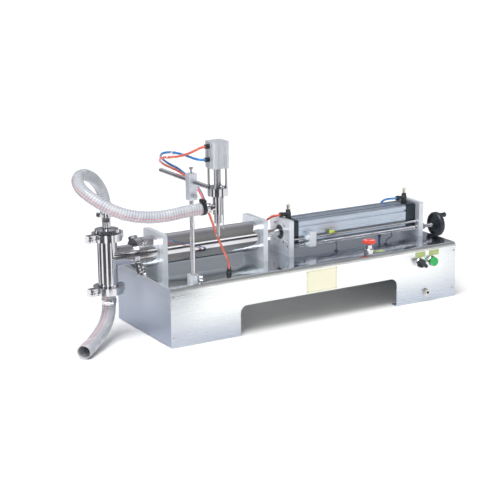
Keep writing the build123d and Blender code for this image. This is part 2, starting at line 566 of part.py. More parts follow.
lower += barbs(17, INLET_TOP - 17, INLET_BARB_RADIUS, 4) + [(INLET_TOP, 13)]
inlet_barb = turned(lower, "z", LOWER_JOINT, TEE_X, AXIS_Y, -1)
save("hose_barbs", outlet_barb, inlet_barb)

# ---- one-way valves in the tee: seat rings, poppets and springs ----
seat_rings = []
for name, station in (("suction", LOWER_JOINT + 8), ("discharge", UPPER_JOINT - 34)):
    ring = pipe("z", neck_bore - RUNNING, SEAT_RADIUS, station, station + 4, TEE_X, AXIS_Y)
    seat_rings.append(ring)
    seat = station + 4 + LOOSE
    poppet = turned([(-6, 0), (-6, SEAT_RADIUS - 3), (0, SEAT_RADIUS - 1), (0, POPPET_RADIUS),
                     (5, POPPET_RADIUS - 3), (5, 4), (12, 4), (12, 0)], "z", seat, TEE_X, AXIS_Y)
    save(f"{name}_poppet", poppet)
    cage_low = seat + 18 + POPPET_LIFT
    cage = pipe("z", neck_bore - RUNNING, 19, cage_low, cage_low + 3, TEE_X, AXIS_Y)
    cage += block(TEE_X - 20, TEE_X + 20, AXIS_Y - 3, AXIS_Y + 3, cage_low, cage_low + 3)
    cage -= bar("z", 4.6, cage_low - 1, cage_low + 4, TEE_X, AXIS_Y)
    seat_rings.append(cage)
    spring_low = seat + 5 + 0.8
    coil_height = cage_low - 0.8 - spring_low
    coil = Helix(pitch=coil_height / 4, height=coil_height, radius=7.5)
    wire = Plane(origin=coil @ 0, z_dir=coil % 0) * Circle(0.7)
    save(f"{name}_spring", Pos(TEE_X, AXIS_Y, spring_low) * sweep(wire, path=coil, is_frenet=True))
save("valve_seats", *seat_rings)

# ---- hoses, air tubes and sensor cables ----
DELIVERY_ROUTE = (
    (-546, 5, 322), (-546, 5, 350), (-549, 9, 377), (-561, 9, 405), (-587, -8, 431), (-621, -38, 447),
    (-652, -72, 450), (-670, -106, 443), (-673, -138, 431), (-663, -165, 417), (-644, -188, 401),
    (-617, -208, 384), (-584, -225, 373), (-543, -238, 367), (-495, -249, 369), (-448, -255, 376),
    (-402, -255, 376),
)
SUCTION_ROUTE = (
    (-546, 5, 117), (-546, 5, 97), (-549, 2, 74), (-561, -10, 54), (-583, -31, 38), (-612, -57, 27),
    (-643, -86, 20.5), (-673, -114, 18.7),
)
RED_ROUTE = (
    (-392, -255, 527), (-410, -255, 527), (-420, -238, 516), (-427, -210, 504), (-435, -180, 494),
    (-445, -148, 489), (-448, -118, 483), (-441, -90, 473), (-422, -66, 459), (-395, -48, 444),
    (-366, -34, 431), (-341, -30, 414), (-326, -44, 398), (-321, -68, 382), (-321, -90, 365),
    (-319, -108, 343), (-314, -117, 319), (-306, -121, 293), (-295, -121, 262), (-283, -118, 237),
    (-268, -113, 211), (-256, -109, 188), (-256, -109, 162),
)
BLUE_ROUTE = (
    (-392, -255, 495), (-410, -255, 495), (-419, -235, 496), (-421, -206, 498), (-424, -166, 499),
    (-433, -130, 498), (-437, -98, 490), (-429, -72, 477), (-408, -51, 462), (-383, -36, 446),
    (-354, -20, 432), (-330, -14, 413), (-313, -28, 397), (-309, -52, 378), (-309, -76, 358),
    (-309, -92, 335), (-305, -102, 312), (-298, -107, 287), (-287, -107, 258), (-275, -104, 233),
    (-261, -101, 208), (-248, -95, 186), (-248, -95, 162),
)
LEFT_VALVE_ROUTE = (
    (-20, 5, 262.5), (-36, 5, 262.5), (-49, 17, 258), (-54, 35, 246), (-52, 51, 228), (-48, 60, 207),
    (-46, 62, 185), (-46, 62, 162),
)
RIGHT_VALVE_ROUTE = (
    (369, 5, 262.5), (353, 5, 262.5), (340, 17, 261), (334, 36, 254), (335, 52, 238), (339, 60, 216),
    (342, 62, 188), (342, 62, 162),
)
CABLE = 3.0
CABLE_ROUTES = (
    ("left sensor cable", ((114.2, -11, 182), (123, -11, 182), (129, -17, 177), (130, -28, 171.5), (126, -40, 169),
                           (119, -50, 168), (113.5, -56, 164.5), (112, -58, 157))),
    ("right sensor cable", ((304.2, -11, 182), (313, -11, 182), (319, -19, 176), (316, -34, 170), (307, -45, 168.5),
                            (296, -54, 168), (285, -61, 169.5), (276, -66, 168), (271, -68.6, 163),
                            (270, -69, 156))),
)


def tube(name, route, outer, inner=0.0):
    """Cord along straight runs joined by arcs as large as the runs allow."""
    points = [Vector(*point) for point in route]
    radii = []
    for before, here, after in zip(points, points[1:], points[2:]):
        turn = math.radians((here - before).get_angle(after - here))
        shorter = min((here - before).length, (after - here).length)
        radii.append(0.45 * shorter / math.tan(turn / 2))
    path = FilletPolyline(*points, radius=radii)
    section = Circle(outer / 2) - Circle(inner / 2) if inner else Circle(outer / 2)
    solid = sweep(Plane(origin=path @ 0, z_dir=path % 0) * section, path=path)
    area = math.pi * (outer ** 2 - inner ** 2) / 4
    print(name, "length", round(path.length, 1), "volume ratio", round(solid.volume / area / path.length, 4),
          "radii", [round(radius) for radius in radii])
    return solid


delivery_bore = 2 * (OUTLET_BARB_RADIUS + HOSE_GAP)
suction_bore = 2 * (INLET_BARB_RADIUS + HOSE_GAP)
save("delivery_hose", tube("delivery_hose", DELIVERY_ROUTE, DELIVERY_HOSE, delivery_bore))
save("suction_hose", tube("suction_hose", SUCTION_ROUTE, SUCTION_HOSE, suction_bore))
save("red_tube", tube("red_tube", RED_ROUTE, AIR_TUBE))
save("blue_tube", tube("blue_tube", BLUE_ROUTE, AIR_TUBE))
save("valve_tubes", tube("left valve tube", LEFT_VALVE_ROUTE, AIR_TUBE),
     tube("right valve tube", RIGHT_VALVE_ROUTE, AIR_TUBE))
save("sensor_cables", *[tube(name, route, CABLE) for name, route in CABLE_ROUTES])

# ---- worm-drive clamps on the hoses ----
BAND = 0.8
BAND_WIDTH = 11.0


def worm_clamp(hose_radius):
    """Band around a hose on the Z axis, its screw housing on the -X side."""
    inner = hose_radius + LOOSE
    clamp = pipe("z", inner + BAND, inner, -BAND_WIDTH / 2, BAND_WIDTH / 2, 0, 0)
    house = block(-inner - 9, -inner - BAND / 2, -7, 7, -BAND_WIDTH / 2, BAND_WIDTH / 2)
    house = fillet(house.edges().filter_by(Axis.Y), 2) - bar("y", 3.2, -8, 8, -inner - 5, 0)
    screw = bar("y", 3.0, -10, 9, -inner - 5, 0) + bar("y", 4.2, -14, -10, -inner - 5, 0)
    screw -= block(-inner - 10, -inner, -15, -13, -0.6, 0.6)
    return clamp + house, screw


upper_clamp = [Location((TEE_X, AXIS_Y, UPPER_JOINT + OUTLET_TOP - 6)) * piece
               for piece in worm_clamp(DELIVERY_HOSE / 2)]
lower_clamp = [Location((TEE_X, AXIS_Y, LOWER_JOINT - INLET_TOP + 10), (0, 0, 60)) * piece
               for piece in worm_clamp(SUCTION_HOSE / 2)]
save("hose_clamps", *upper_clamp, *lower_clamp)

# ---- nozzle stand: socket and its clamp screw on the cabinet; rod, block, arm and nozzle move as one ----
socket = pipe("z", SOCKET_RADIUS, STAND_ROD_RADIUS + RUNNING, TOP, TOP + SOCKET_HEIGHT, STAND_X, STAND_Y)
SCREW_ANGLE = -35.0
place = Location((STAND_X, STAND_Y, TOP + SOCKET_HEIGHT / 2), (0, 0, SCREW_ANGLE))
socket -= place * bar("x", 3 + RUNNING, 0, 20, 0, 0)
save("stand_socket", socket)
thumb = bar("x", 3.0, STAND_ROD_RADIUS + LOOSE, 24, 0, 0) + bar("x", 8.5, SOCKET_RADIUS + 2, 26, 0, 0)
save("socket_screw", place * thumb)

rod_top = ARM_HEIGHT - ARM_RADIUS - 3
upright = bar("z", STAND_ROD_RADIUS, TOP - ROD_BELOW_PLATE, rod_top, STAND_X, STAND_Y)
clamp_block = block(STAND_X - BLOCK_WIDTH / 2, STAND_X + BLOCK_WIDTH / 2, STAND_Y - BLOCK_DEPTH / 2,
                    STAND_Y + BLOCK_DEPTH / 2, BLOCK_BOTTOM, BLOCK_TOP)
clamp_block = chamfer(clamp_block.edges().filter_by(Axis.Z), 1.5)
clamp_block -= bar("z", STAND_ROD_RADIUS + RUNNING, BLOCK_BOTTOM - 1, rod_top + 0.5, STAND_X, STAND_Y)
clamp_block -= bar("y", ARM_RADIUS + RUNNING, STAND_Y - 30, STAND_Y + 30, STAND_X, ARM_HEIGHT)
clamp_block -= bar("z", 2.5 + RUNNING, ARM_HEIGHT, BLOCK_TOP + 1, STAND_X, STAND_Y)
LOW_SCREW = BLOCK_BOTTOM + 12
clamp_block -= bar("y", 2.5 + RUNNING, STAND_Y - 30, STAND_Y, STAND_X, LOW_SCREW)
save("clamp_block", clamp_block)
top_screw = bar("z", 2.5, ARM_HEIGHT + ARM_RADIUS + LOOSE, BLOCK_TOP + 10, STAND_X, STAND_Y)
top_screw += turned([(0, 0), (0, 3.5), (2, 5.5), (5, 5.5), (5, 0)], "z", BLOCK_TOP + 10, STAND_X, STAND_Y)
block_front = STAND_Y - BLOCK_DEPTH / 2
low_screw = bar("y", 2.5, block_front - 5, STAND_Y - STAND_ROD_RADIUS - LOOSE, STAND_X, LOW_SCREW)
low_screw += bar("y", 5.5, block_front - 10, block_front - 5, STAND_X, LOW_SCREW)
save("block_screws", top_screw, low_screw)

FLANGE_RADIUS = 25.0
arm_front = NOZZLE_Y + NOZZLE_RADIUS + 2
save("stand_rods", upright, bar("y", ARM_RADIUS, arm_front, ARM_BACK, STAND_X, ARM_HEIGHT))

# ---- nozzle: a square air cylinder on four pillars lifts a plunger off the outlet ----
half_nozzle = NOZZLE_SQUARE / 2
cylinder = block(STAND_X - half_nozzle, STAND_X + half_nozzle, NOZZLE_Y - half_nozzle, NOZZLE_Y + half_nozzle,
                 *NOZZLE_CYLINDER)
cylinder = chamfer(cylinder.edges().filter_by(Axis.Z), 4)
for offset in (-9.0, 9.0):
    for face in (-1, 1):
        rim_in, rim_out = face * (half_nozzle - 2), face * (half_nozzle + 1)
        near, far = min(rim_in, rim_out), max(rim_in, rim_out)
        cylinder -= block(STAND_X + offset - 2, STAND_X + offset + 2, NOZZLE_Y + near, NOZZLE_Y + far,
                          NOZZLE_CYLINDER[0] - 1, NOZZLE_CYLINDER[1] + 1)
        cylinder -= block(STAND_X + near, STAND_X + far, NOZZLE_Y + offset - 2, NOZZLE_Y + offset + 2,
                          NOZZLE_CYLINDER[0] - 1, NOZZLE_CYLINDER[1] + 1)
NOZZLE_BORE = 16.0
piston_room = (NOZZLE_CYLINDER[0] + 8, NOZZLE_CYLINDER[1] - 8)
cylinder -= bar("z", NOZZLE_BORE, *piston_room, STAND_X, NOZZLE_Y)
STEM_RADIUS = 4.0
cylinder -= bar("z", STEM_RADIUS + RUNNING, NOZZLE_CYLINDER[0] - 1, piston_room[0] + 1, STAND_X, NOZZLE_Y)
cylinder -= bar("z", 4.0, NOZZLE_CYLINDER[1] - 4, NOZZLE_CYLINDER[1] + 1, STAND_X + 9, NOZZLE_Y + 12)
FITTING_HEIGHTS = (527.0, 495.0)
for height in FITTING_HEIGHTS:
    cylinder -= bar("x", 4.0, STAND_X - half_nozzle - 1, STAND_X - half_nozzle + 4, NOZZLE_Y, height)
save("nozzle_cylinder", cylinder)

flange = bar("z", FLANGE_RADIUS, *NOZZLE_FLANGE, STAND_X, NOZZLE_Y)
flange += block(STAND_X - 11, STAND_X + 11, NOZZLE_Y, NOZZLE_Y + FLANGE_RADIUS + 8, *NOZZLE_FLANGE)
flange -= bar("z", NOZZLE_RADIUS + RUNNING, NOZZLE_FLANGE[0] - 1, NOZZLE_FLANGE[1] - 5, STAND_X, NOZZLE_Y)
flange -= bar("z", STEM_RADIUS + RUNNING, NOZZLE_FLANGE[0] - 1, NOZZLE_FLANGE[1] + 1, STAND_X, NOZZLE_Y)
flange -= bar("y", ARM_RADIUS + RUNNING, arm_front, ARM_BACK, STAND_X, ARM_HEIGHT)
pillars = []
for side in (-1, 1):
    for turn in (-1, 1):
        pillars.append(bar("z", 3.0, NOZZLE_FLANGE[1], NOZZLE_CYLINDER[0], STAND_X + side * PILLAR_PITCH / 2,
                           NOZZLE_Y + turn * PILLAR_PITCH / 2))
save("nozzle_frame", flange, *pillars)

NOZZLE_BORE_LOW = 9.0
TIP_RADIUS = 4.5
TIP_BORE = 3.2
body = pipe("z", NOZZLE_RADIUS, NOZZLE_BORE_LOW, NOZZLE_BODY_BOTTOM, NOZZLE_FLANGE[1] - 5, STAND_X, NOZZLE_Y)
inlet = turned([(0, 5), (0, 8), (10, 8), (10, 11.5), (14, 11.5), (14, OUTLET_BARB_RADIUS - 0.9)]
               + barbs(15, 28, OUTLET_BARB_RADIUS, 4) + [(43, 5)], "x", STAND_X - NOZZLE_RADIUS + 2, NOZZLE_Y,
               NOZZLE_INLET_HEIGHT, -1)
body -= bar("x", 5.0, STAND_X - NOZZLE_RADIUS - 1, STAND_X, NOZZLE_Y, NOZZLE_INLET_HEIGHT)
body += inlet - bar("z", NOZZLE_BORE_LOW, NOZZLE_BODY_BOTTOM, NOZZLE_FLANGE[0], STAND_X, NOZZLE_Y)
sleeve = turned([(NOZZLE_TIP, TIP_BORE), (NOZZLE_TIP, TIP_RADIUS), (NOZZLE_SLEEVE_BOTTOM, TIP_RADIUS),
                 (NOZZLE_SLEEVE_BOTTOM, 9.5), (NOZZLE_BODY_BOTTOM, 9.5), (NOZZLE_BODY_BOTTOM, 6.5),
                 (NOZZLE_BODY_BOTTOM - 4, TIP_BORE)], "z", 0, STAND_X, NOZZLE_Y)
save("nozzle_body", body, sleeve)

seat_z = NOZZLE_BODY_BOTTOM
stem = bar("z", STEM_RADIUS, seat_z + 6, piston_room[0] + 6, STAND_X, NOZZLE_Y)
stem += turned([(0, 0), (0, 4.5), (1.2, 5.6), (9, 5.6), (9, 0)], "z", seat_z - 0.6, STAND_X, NOZZLE_Y)
stem += bar("z", NOZZLE_BORE - RUNNING, piston_room[0] + LOOSE, piston_room[0] + 14, STAND_X, NOZZLE_Y)
guide_top = NOZZLE_FLANGE[1] - 8 - NOZZLE_LIFT
stem += bar("z", NOZZLE_BORE_LOW - RUNNING, guide_top - 8, guide_top, STAND_X, NOZZLE_Y)
save("nozzle_stem", stem)

fittings = []
for height in FITTING_HEIGHTS:
    face = STAND_X - half_nozzle
    fittings.append(turned([(-3, 0), (-3, 4 - RUNNING), (0, 4 - RUNNING), (0, 6), (5, 6), (5, 5.5), (11, 5.5),
                            (11, 3 + RUNNING), (1.5, 3 + RUNNING), (1.5, 0)], "x", face, NOZZLE_Y, height, -1))
save("nozzle_fittings", *fittings)
nozzle_clamp = [Location((STAND_X - 42, NOZZLE_Y, NOZZLE_INLET_HEIGHT), (0, 90, 0)) * piece
                for piece in worm_clamp(DELIVERY_HOSE / 2)]
save("nozzle_hose_clamp", *nozzle_clamp)

# ---- fittings through the cabinet: two tube fittings, two cable grommets, the air supply inlet ----
through = []
for x, y in TUBE_HOLES:
    through.append(turned([(-6, 0), (-6, GLAND_HOLE - LOOSE), (0, GLAND_HOLE - LOOSE), (0, 7), (5, 7), (7, 5.5),
                           (14, 5.5), (14, 3 + RUNNING), (4, 3 + RUNNING), (4, 0)], "z", TOP, x, y))
for x, y in CABLE_HOLES:
    through.append(turned([(-4, 2.3), (-4, GLAND_HOLE - LOOSE), (0, GLAND_HOLE - LOOSE), (0, 6), (1.5, 6),
                           (3, 4), (3, 2.3)], "z", TOP, x, y))
port = turned([(-14, 0), (-14, PORT_HOLE - LOOSE), (0, PORT_HOLE - LOOSE), (0, 9.5), (5, 9.5), (5, 7.5),
               (10, 7), (10, 4), (-5, 4), (-5, 0)], "y", FRONT, INLET_PORT_X, INLET_PORT_HEIGHT, -1)
save("cabinet_fittings", *through, port)

# ---- controls ----
bezel_bore = 8.5
bezels = []
for x in (SELECTOR_X, BUTTON_X):
    bezels.append(turned([(-22, bezel_bore), (-22, CONTROL_HOLE - LOOSE), (0, CONTROL_HOLE - LOOSE), (0, BEZEL_RADIUS),
                          (4, BEZEL_RADIUS), (6, BEZEL_RADIUS - 1.5), (6, bezel_bore)], "y", FRONT, x, CONTROL_HEIGHT, -1))
stop_body = turned([(-16, 5), (-16, STOP_HOLE - LOOSE), (0, STOP_HOLE - LOOSE), (0, 13), (12, 13), (14, 11.5),
                    (14, 9), (24, 9), (24, 5)], "z", TOP, STOP_X, STOP_Y)
save("control_bodies", *bezels, stop_body)
selector = bar("y", bezel_bore - RUNNING, FRONT - 8, FRONT + 14, SELECTOR_X, CONTROL_HEIGHT)
selector += bar("y", 12.0, FRONT - 13, FRONT - 6 - LOOSE, SELECTOR_X, CONTROL_HEIGHT)
grip = Pos(SELECTOR_X, FRONT - 19, CONTROL_HEIGHT) * Rot(0, -45, 0) * Box(9, 13, 25)
selector += fillet(grip.edges().filter_by(Axis.Y), 3)
save("selector_knob", selector)
button = bar("y", bezel_bore - RUNNING, FRONT - 6, FRONT + 14, BUTTON_X, CONTROL_HEIGHT)
button += bar("y", 12.5, FRONT - 6 - BUTTON_TRAVEL - 6, FRONT - 6 - BUTTON_TRAVEL - LOOSE, BUTTON_X,
              CONTROL_HEIGHT)
button += bar("y", 6, FRONT - 6 - BUTTON_TRAVEL - 1, FRONT - 5, BUTTON_X, CONTROL_HEIGHT)
save("button_cap", button)
stop_top = TOP + 24
mushroom = bar("z", 5 - RUNNING, TOP - 10, stop_top + STOP_TRAVEL + 2, STOP_X, STOP_Y)
mushroom += turned([(0, 0), (0, 14), (2, 19), (5, 20), (8, 18.5), (10, 14), (11, 0)], "z",
                   stop_top + STOP_TRAVEL + LOOSE, STOP_X, STOP_Y)
save("stop_mushroom", mushroom)

# ---- pilot valve that reverses the air cylinder, screwed up under the cabinet's top ----
under = TOP - SHEET
valve = block(40, 150, 20, 60, under - 34, under)
for x in (58, 76, 95, 114, 132):
    valve -= bar("y", 5, 15, 30, x, under - 17)
save("pilot_valve", valve)
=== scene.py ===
"""Looks of the piston liquid filler: camera and light, hoses and tubes, then the machine piece by piece."""

import math

import bmesh
import bpy
import numpy as np
from mathutils import Matrix, Vector


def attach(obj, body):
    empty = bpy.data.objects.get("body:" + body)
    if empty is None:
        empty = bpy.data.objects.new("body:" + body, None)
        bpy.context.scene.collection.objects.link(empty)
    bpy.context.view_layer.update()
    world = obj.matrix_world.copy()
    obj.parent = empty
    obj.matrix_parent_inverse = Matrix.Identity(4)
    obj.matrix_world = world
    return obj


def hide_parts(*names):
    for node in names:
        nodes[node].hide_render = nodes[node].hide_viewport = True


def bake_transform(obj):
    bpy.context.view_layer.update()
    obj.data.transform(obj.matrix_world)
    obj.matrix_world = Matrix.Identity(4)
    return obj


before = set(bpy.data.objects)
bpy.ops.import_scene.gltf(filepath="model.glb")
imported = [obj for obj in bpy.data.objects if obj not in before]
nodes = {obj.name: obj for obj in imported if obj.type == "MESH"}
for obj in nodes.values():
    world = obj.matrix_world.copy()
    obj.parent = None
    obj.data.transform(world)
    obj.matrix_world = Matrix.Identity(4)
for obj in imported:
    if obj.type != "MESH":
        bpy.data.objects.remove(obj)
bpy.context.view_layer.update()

# ---- camera ----
# A long lens stands at the liquid end of the front, a little above the machine, and turns a shade off level.
azimuth, elevation, roll = math.radians(-30.487), math.radians(14.473), math.radians(0.478)
right = np.array([math.cos(azimuth), math.sin(azimuth), 0])
back = np.array([math.sin(azimuth) * math.cos(elevation), -math.cos(azimuth) * math.cos(elevation),
                 math.sin(elevation)])
up = np.cross(back, right)
level = np.array([math.cos(roll) * right - math.sin(roll) * up, math.sin(roll) * right + math.cos(roll) * up, back])
camera = bpy.data.objects.new("camera", bpy.data.cameras.new("camera"))
camera.data.lens = 103.69
camera.data.sensor_width = 36
camera.data.clip_end = 100
turn = Matrix(level.T.tolist()).to_4x4()
turn.translation = (-2.02963, -3.22933, 1.14628)
camera.matrix_world = turn
bpy.context.scene.collection.objects.link(camera)
bpy.context.scene.camera = camera

# ---- studio ----
# A tent that is dim but for a few bright panels, so that polished steel has something to mirror; dark
# cards stand round the liquid end for the same reason. One wide soft light is overhead.


class Wire:
    """A value in a shader: sums, products and comparisons written with it become Math nodes."""

    def __init__(self, graph, socket):
        self.graph, self.socket = graph, socket

    def maths(self, operation, *others):
        inputs = dict(enumerate((self, *others)))
        return self.graph.node("ShaderNodeMath", {"operation": operation}, inputs)

    def __add__(self, other):
        return self.maths("ADD", other)

    def __sub__(self, other):
        return self.maths("SUBTRACT", other)

    def __rsub__(self, other):
        return self.graph.node("ShaderNodeMath", {"operation": "SUBTRACT"}, {0: other, 1: self})

    def __mul__(self, other):
        return self.maths("MULTIPLY", other)

    def __abs__(self):
        return self.maths("ABSOLUTE")

    def __gt__(self, other):
        return self.maths("GREATER_THAN", other)

    def __lt__(self, other):
        return self.maths("LESS_THAN", other)

    def __mod__(self, other):
        return self.maths("FLOORED_MODULO", other)

    __radd__, __rmul__ = __add__, __mul__

    def step(self, low, high, start=0.0, end=1.0):
        """Rises smoothly from start to end while the value goes from low to high."""
        return self.graph.node("ShaderNodeMapRange", {"interpolation_type": "SMOOTHSTEP"},
                               {0: self, 1: low, 2: high, 3: start, 4: end})


class Graph:
    """A node tree that is filled one node at a time."""

    def __init__(self, tree):
        self.tree = tree

    def join(self, socket, value):
        if isinstance(value, Wire):
            self.tree.links.new(value.socket, socket)
        else:
            socket.default_value = value

    def node(self, kind, settings=None, inputs=None, output=0):
        made = self.tree.nodes.new(kind)
        for key, value in (settings or {}).items():
            if key == "stops":
                ends = made.color_ramp.elements
                ends[0].position, ends[-1].position = value[0][0], value[-1][0]
                ends[0].color, ends[-1].color = (*value[0][1], 1), (*value[-1][1], 1)
                for place, colour in value[1:-1]:
                    ends.new(place).color = (*colour, 1)
            else:
                setattr(made, key, value)
        for key, value in (inputs or {}).items():
            self.join(made.inputs[key], value)
        return Wire(self, made.outputs[output])

    def mix(self, share, low, high):
        """Colour that goes from low to high as share goes from 0 to 1."""
        colours = [value if isinstance(value, Wire) else (*value, 1) for value in (low, high)]
        return self.node("ShaderNodeMix", {"data_type": "RGBA"}, {0: share, 6: colours[0], 7: colours[1]}, 2)

    def axes(self, vector):
        return [self.node("ShaderNodeSeparateXYZ", None, {0: vector}, place) for place in range(3)]


bpy.context.scene.world = bpy.data.worlds.new("tent")
bpy.context.scene.world.use_nodes = True
tent = Graph(bpy.context.scene.world.node_tree)
look_y, look_z = tent.axes(tent.node("ShaderNodeTexCoord", output="Generated"))[1:]
rear = tent.node("ShaderNodeValToRGB", {"stops": [
    (0.0, (0.42, 0.43, 0.46)), (0.16, (0.30, 0.31, 0.34)), (0.30, (0.23, 0.24, 0.27)), (0.40, (0.55, 0.56, 0.60)),
    (0.56, (0.58, 0.59, 0.62)), (0.72, (0.42, 0.42, 0.45)), (0.88, (0.26, 0.26, 0.27)), (1.0, (0.3, 0.3, 0.31))]},
    {0: look_z})
front = tent.node("ShaderNodeValToRGB", {"stops": [
    (0.0, (0.16, 0.16, 0.17)), (0.16, (0.07, 0.07, 0.08)), (0.24, (0.07, 0.07, 0.08)), (0.28, (1.7, 1.7, 1.7)),
    (0.36, (1.7, 1.7, 1.7)), (0.41, (0.22, 0.215, 0.21)), (0.75, (0.30, 0.295, 0.29)), (1.0, (0.3, 0.3, 0.31))]},
    {0: look_z})
bands = tent.mix(look_y.step(-0.25, 0.15), front, rear)
tent.join(tent.tree.nodes["Background"].inputs["Color"], bands)
bpy.context.scene.view_settings.view_transform = "Standard"


def lamp(name, kind, power, place, aim, **settings):
    """Light of the given power at a place, turned to face the aim."""
    light = bpy.data.objects.new(name, bpy.data.lights.new(name, kind))
    light.data.energy = power
    for key, value in settings.items():
        setattr(light.data, key, value)
    way = Vector(aim) - Vector(place)
    light.matrix_world = Matrix.Translation(place) @ way.to_track_quat("-Z", "Y").to_matrix().to_4x4()
    bpy.context.scene.collection.objects.link(light)
    return light


lamp("sky_panel", "SUN", 2.9, (-0.7, -0.5, 2.0), (0, 0, 0), angle=math.radians(38))
lamp("side_panel", "AREA", 5, (-1.5, -1.2, 1.1), (-0.4, 0, 0.25), size=0.5)


def dark_card(name, corners):
    """Upright dark card that only polished surfaces see, between a shiny part and the white floor."""
    mesh = bpy.data.meshes.new(name)
    low = [(x, y, 0.0) for x, y in corners]
    high = [(x, y, 1.2) for x, y in corners]
    mesh.from_pydata(low + high, [], [(0, 1, 3, 2)])
    card = bpy.data.objects.new(name, mesh)
    bpy.context.scene.collection.objects.link(card)
    card.visible_camera = card.visible_diffuse = card.visible_shadow = False
    card.visible_transmission = card.visible_volume_scatter = False
    return card


black_card = bpy.data.materials.new("black_card")
black_card.use_nodes = True
card_shader = black_card.node_tree.nodes["Principled BSDF"]
card_shader.inputs["Base Color"].default_value = (0.14, 0.14, 0.15, 1)
card_shader.inputs["Roughness"].default_value = 1.0
for index, (start, end) in enumerate((((-0.95, 0.30), (-0.98, 0.05)), ((-0.96, -0.10), (-0.86, -0.36)),
                                      ((-0.74, -0.47), (-0.44, -0.56)), ((-0.90, 0.40), (-0.62, 0.60)),
                                      ((-0.30, -0.52), (-0.20, -0.52)))):
    dark_card(f"dark_card_{index}", (start, end)).data.materials.append(black_card)


def finish(name, colour, roughness, metallic=0.0, **fixed):
    """Material on a Principled shader with its constant values set; the graph's shader takes what varies."""
    material = bpy.data.materials.new(name)
    material.use_nodes = True
    graph = Graph(material.node_tree)
    graph.material = material
    graph.shader = material.node_tree.nodes["Principled BSDF"]
    graph.shader.inputs["Base Color"].default_value = (*colour, 1)
    graph.shader.inputs["Roughness"].default_value = roughness
    graph.shader.inputs["Metallic"].default_value = metallic
    for key, value in fixed.items():
        graph.shader.inputs[key.replace("_", " ")].default_value = value
    graph.place = graph.node("ShaderNodeTexCoord", output="Object")
    return graph


def cloud(graph, scale, detail=3.0, stretch=(1, 1, 1)):
    """Soft noise from 0 to 1, its grain drawn out along an axis by a small stretch value."""
    moved = graph.node("ShaderNodeMapping", {"vector_type": "TEXTURE"}, {
        "Vector": graph.place, "Scale": tuple(1 / value for value in stretch)})
    return graph.node("ShaderNodeTexNoise", None, {"Vector": moved, "Scale": scale, "Detail": detail})


def relief(graph, height, depth, strength=1.0):
    """Bump of the given depth in metres that feeds the shader's Normal."""
    graph.join(graph.shader.inputs["Normal"], graph.node("ShaderNodeBump", None, {
        "Height": height, "Distance": depth, "Strength": strength}))


def grid_mesh(name, grid, wrap_rows=False, uv=None, shift=0.0):
    """Mesh of a grid of points: columns always close on themselves, rows do if wrap_rows; doubles are merged.
    Its UV map holds the distance along the rows and the share of the way round, less the shift."""
    rows, columns = grid.shape[:2]
    row, column = np.meshgrid(np.arange(rows if wrap_rows else rows - 1), np.arange(columns), indexing="ij")
    row, column = row.ravel(), column.ravel()
    after, beside = (row + 1) % rows, (column + 1) % columns
    faces = np.stack([row * columns + column, after * columns + column, after * columns + beside,
                      row * columns + beside], axis=1)
    mesh = bpy.data.meshes.new(name)
    mesh.from_pydata(grid.reshape(-1, 3), [], faces.tolist())
    if uv is not None:
        around = np.stack([column, column, column + 1, column + 1], axis=1) / columns - shift
        along = np.stack([uv[row], uv[after], uv[after], uv[row]], axis=1)
        layer = mesh.uv_layers.new(name="run")
        layer.data.foreach_set("uv", np.stack([along, around], axis=2).ravel())
    shape = bmesh.new()
    shape.from_mesh(mesh)
    bmesh.ops.remove_doubles(shape, verts=shape.verts, dist=1e-7)
    bmesh.ops.recalc_face_normals(shape, faces=shape.faces)
    shape.to_mesh(mesh)
    shape.free()
    mesh.shade_smooth()
    made = bpy.data.objects.new(name, mesh)
    bpy.context.scene.collection.objects.link(made)
    return made


floor_points = np.array([[-30, -30, -0.0004], [30, -30, -0.0004], [30, 30, -0.0004], [-30, 30, -0.0004]])
floor_mesh = bpy.data.meshes.new("floor")
floor_mesh.from_pydata(floor_points.tolist(), [], [(0, 1, 2, 3)])
floor = bpy.data.objects.new("floor", floor_mesh)
bpy.context.scene.collection.objects.link(floor)
card = finish("pale_card", (0.93, 0.93, 0.93), 0.9)
card.join(card.shader.inputs["Base Color"], card.mix(cloud(card, 8.0), (0.925, 0.925, 0.925), (0.94, 0.94, 0.94)))
floor.data.materials.append(card.material)

# ---- delivery hose and suction hose ----
# Clear flexible hose with a stiff white spiral cast into its wall and a pair of thin red lines along it.
# The delivery hose climbs from the outlet, loops round and comes back to the nozzle; the suction hose
# hangs off the lower joint and reaches the bench.
DELIVERY = [(-546, 5, 322), (-546, 5, 350), (-549, 9, 377), (-561, 9, 405), (-587, -8, 431), (-621, -38, 447),
            (-652, -72, 450), (-670, -106, 443), (-673, -138, 431), (-663, -165, 417), (-644, -188, 401),
            (-617, -208, 384), (-584, -225, 373), (-543, -238, 367), (-495, -249, 369), (-448, -255, 376),
            (-402, -255, 376)]
SUCTION = [(-546, 5, 117), (-546, 5, 97), (-549, 2, 74), (-561, -10, 54), (-583, -31, 38), (-612, -57, 27),
           (-643, -86, 20.5), (-673, -114, 18.7)]


def run_line(route):
    """Points along the smooth line that the route's points control, in metres, with their distance along it."""
    curve = bpy.data.curves.new("run", "CURVE")
    curve.dimensions = "3D"
    spline = curve.splines.new("NURBS")
    spline.points.add(len(route) - 1)
    metres = np.array(route) / 1000
    spline.points.foreach_set("co", np.column_stack([metres, np.ones(len(route))]).ravel())
    spline.order_u = 3
    spline.use_endpoint_u = True
    spline.resolution_u = 24
    held = bpy.data.objects.new("run", curve)
    mesh = bpy.data.meshes.new_from_object(held)
    points = np.empty(len(mesh.vertices) * 3)
    mesh.vertices.foreach_get("co", points)
    points = points.reshape(-1, 3)
    bpy.data.objects.remove(held)
    bpy.data.meshes.remove(mesh)
    return points, np.concatenate([[0], np.cumsum(np.linalg.norm(np.diff(points, axis=0), axis=1))])


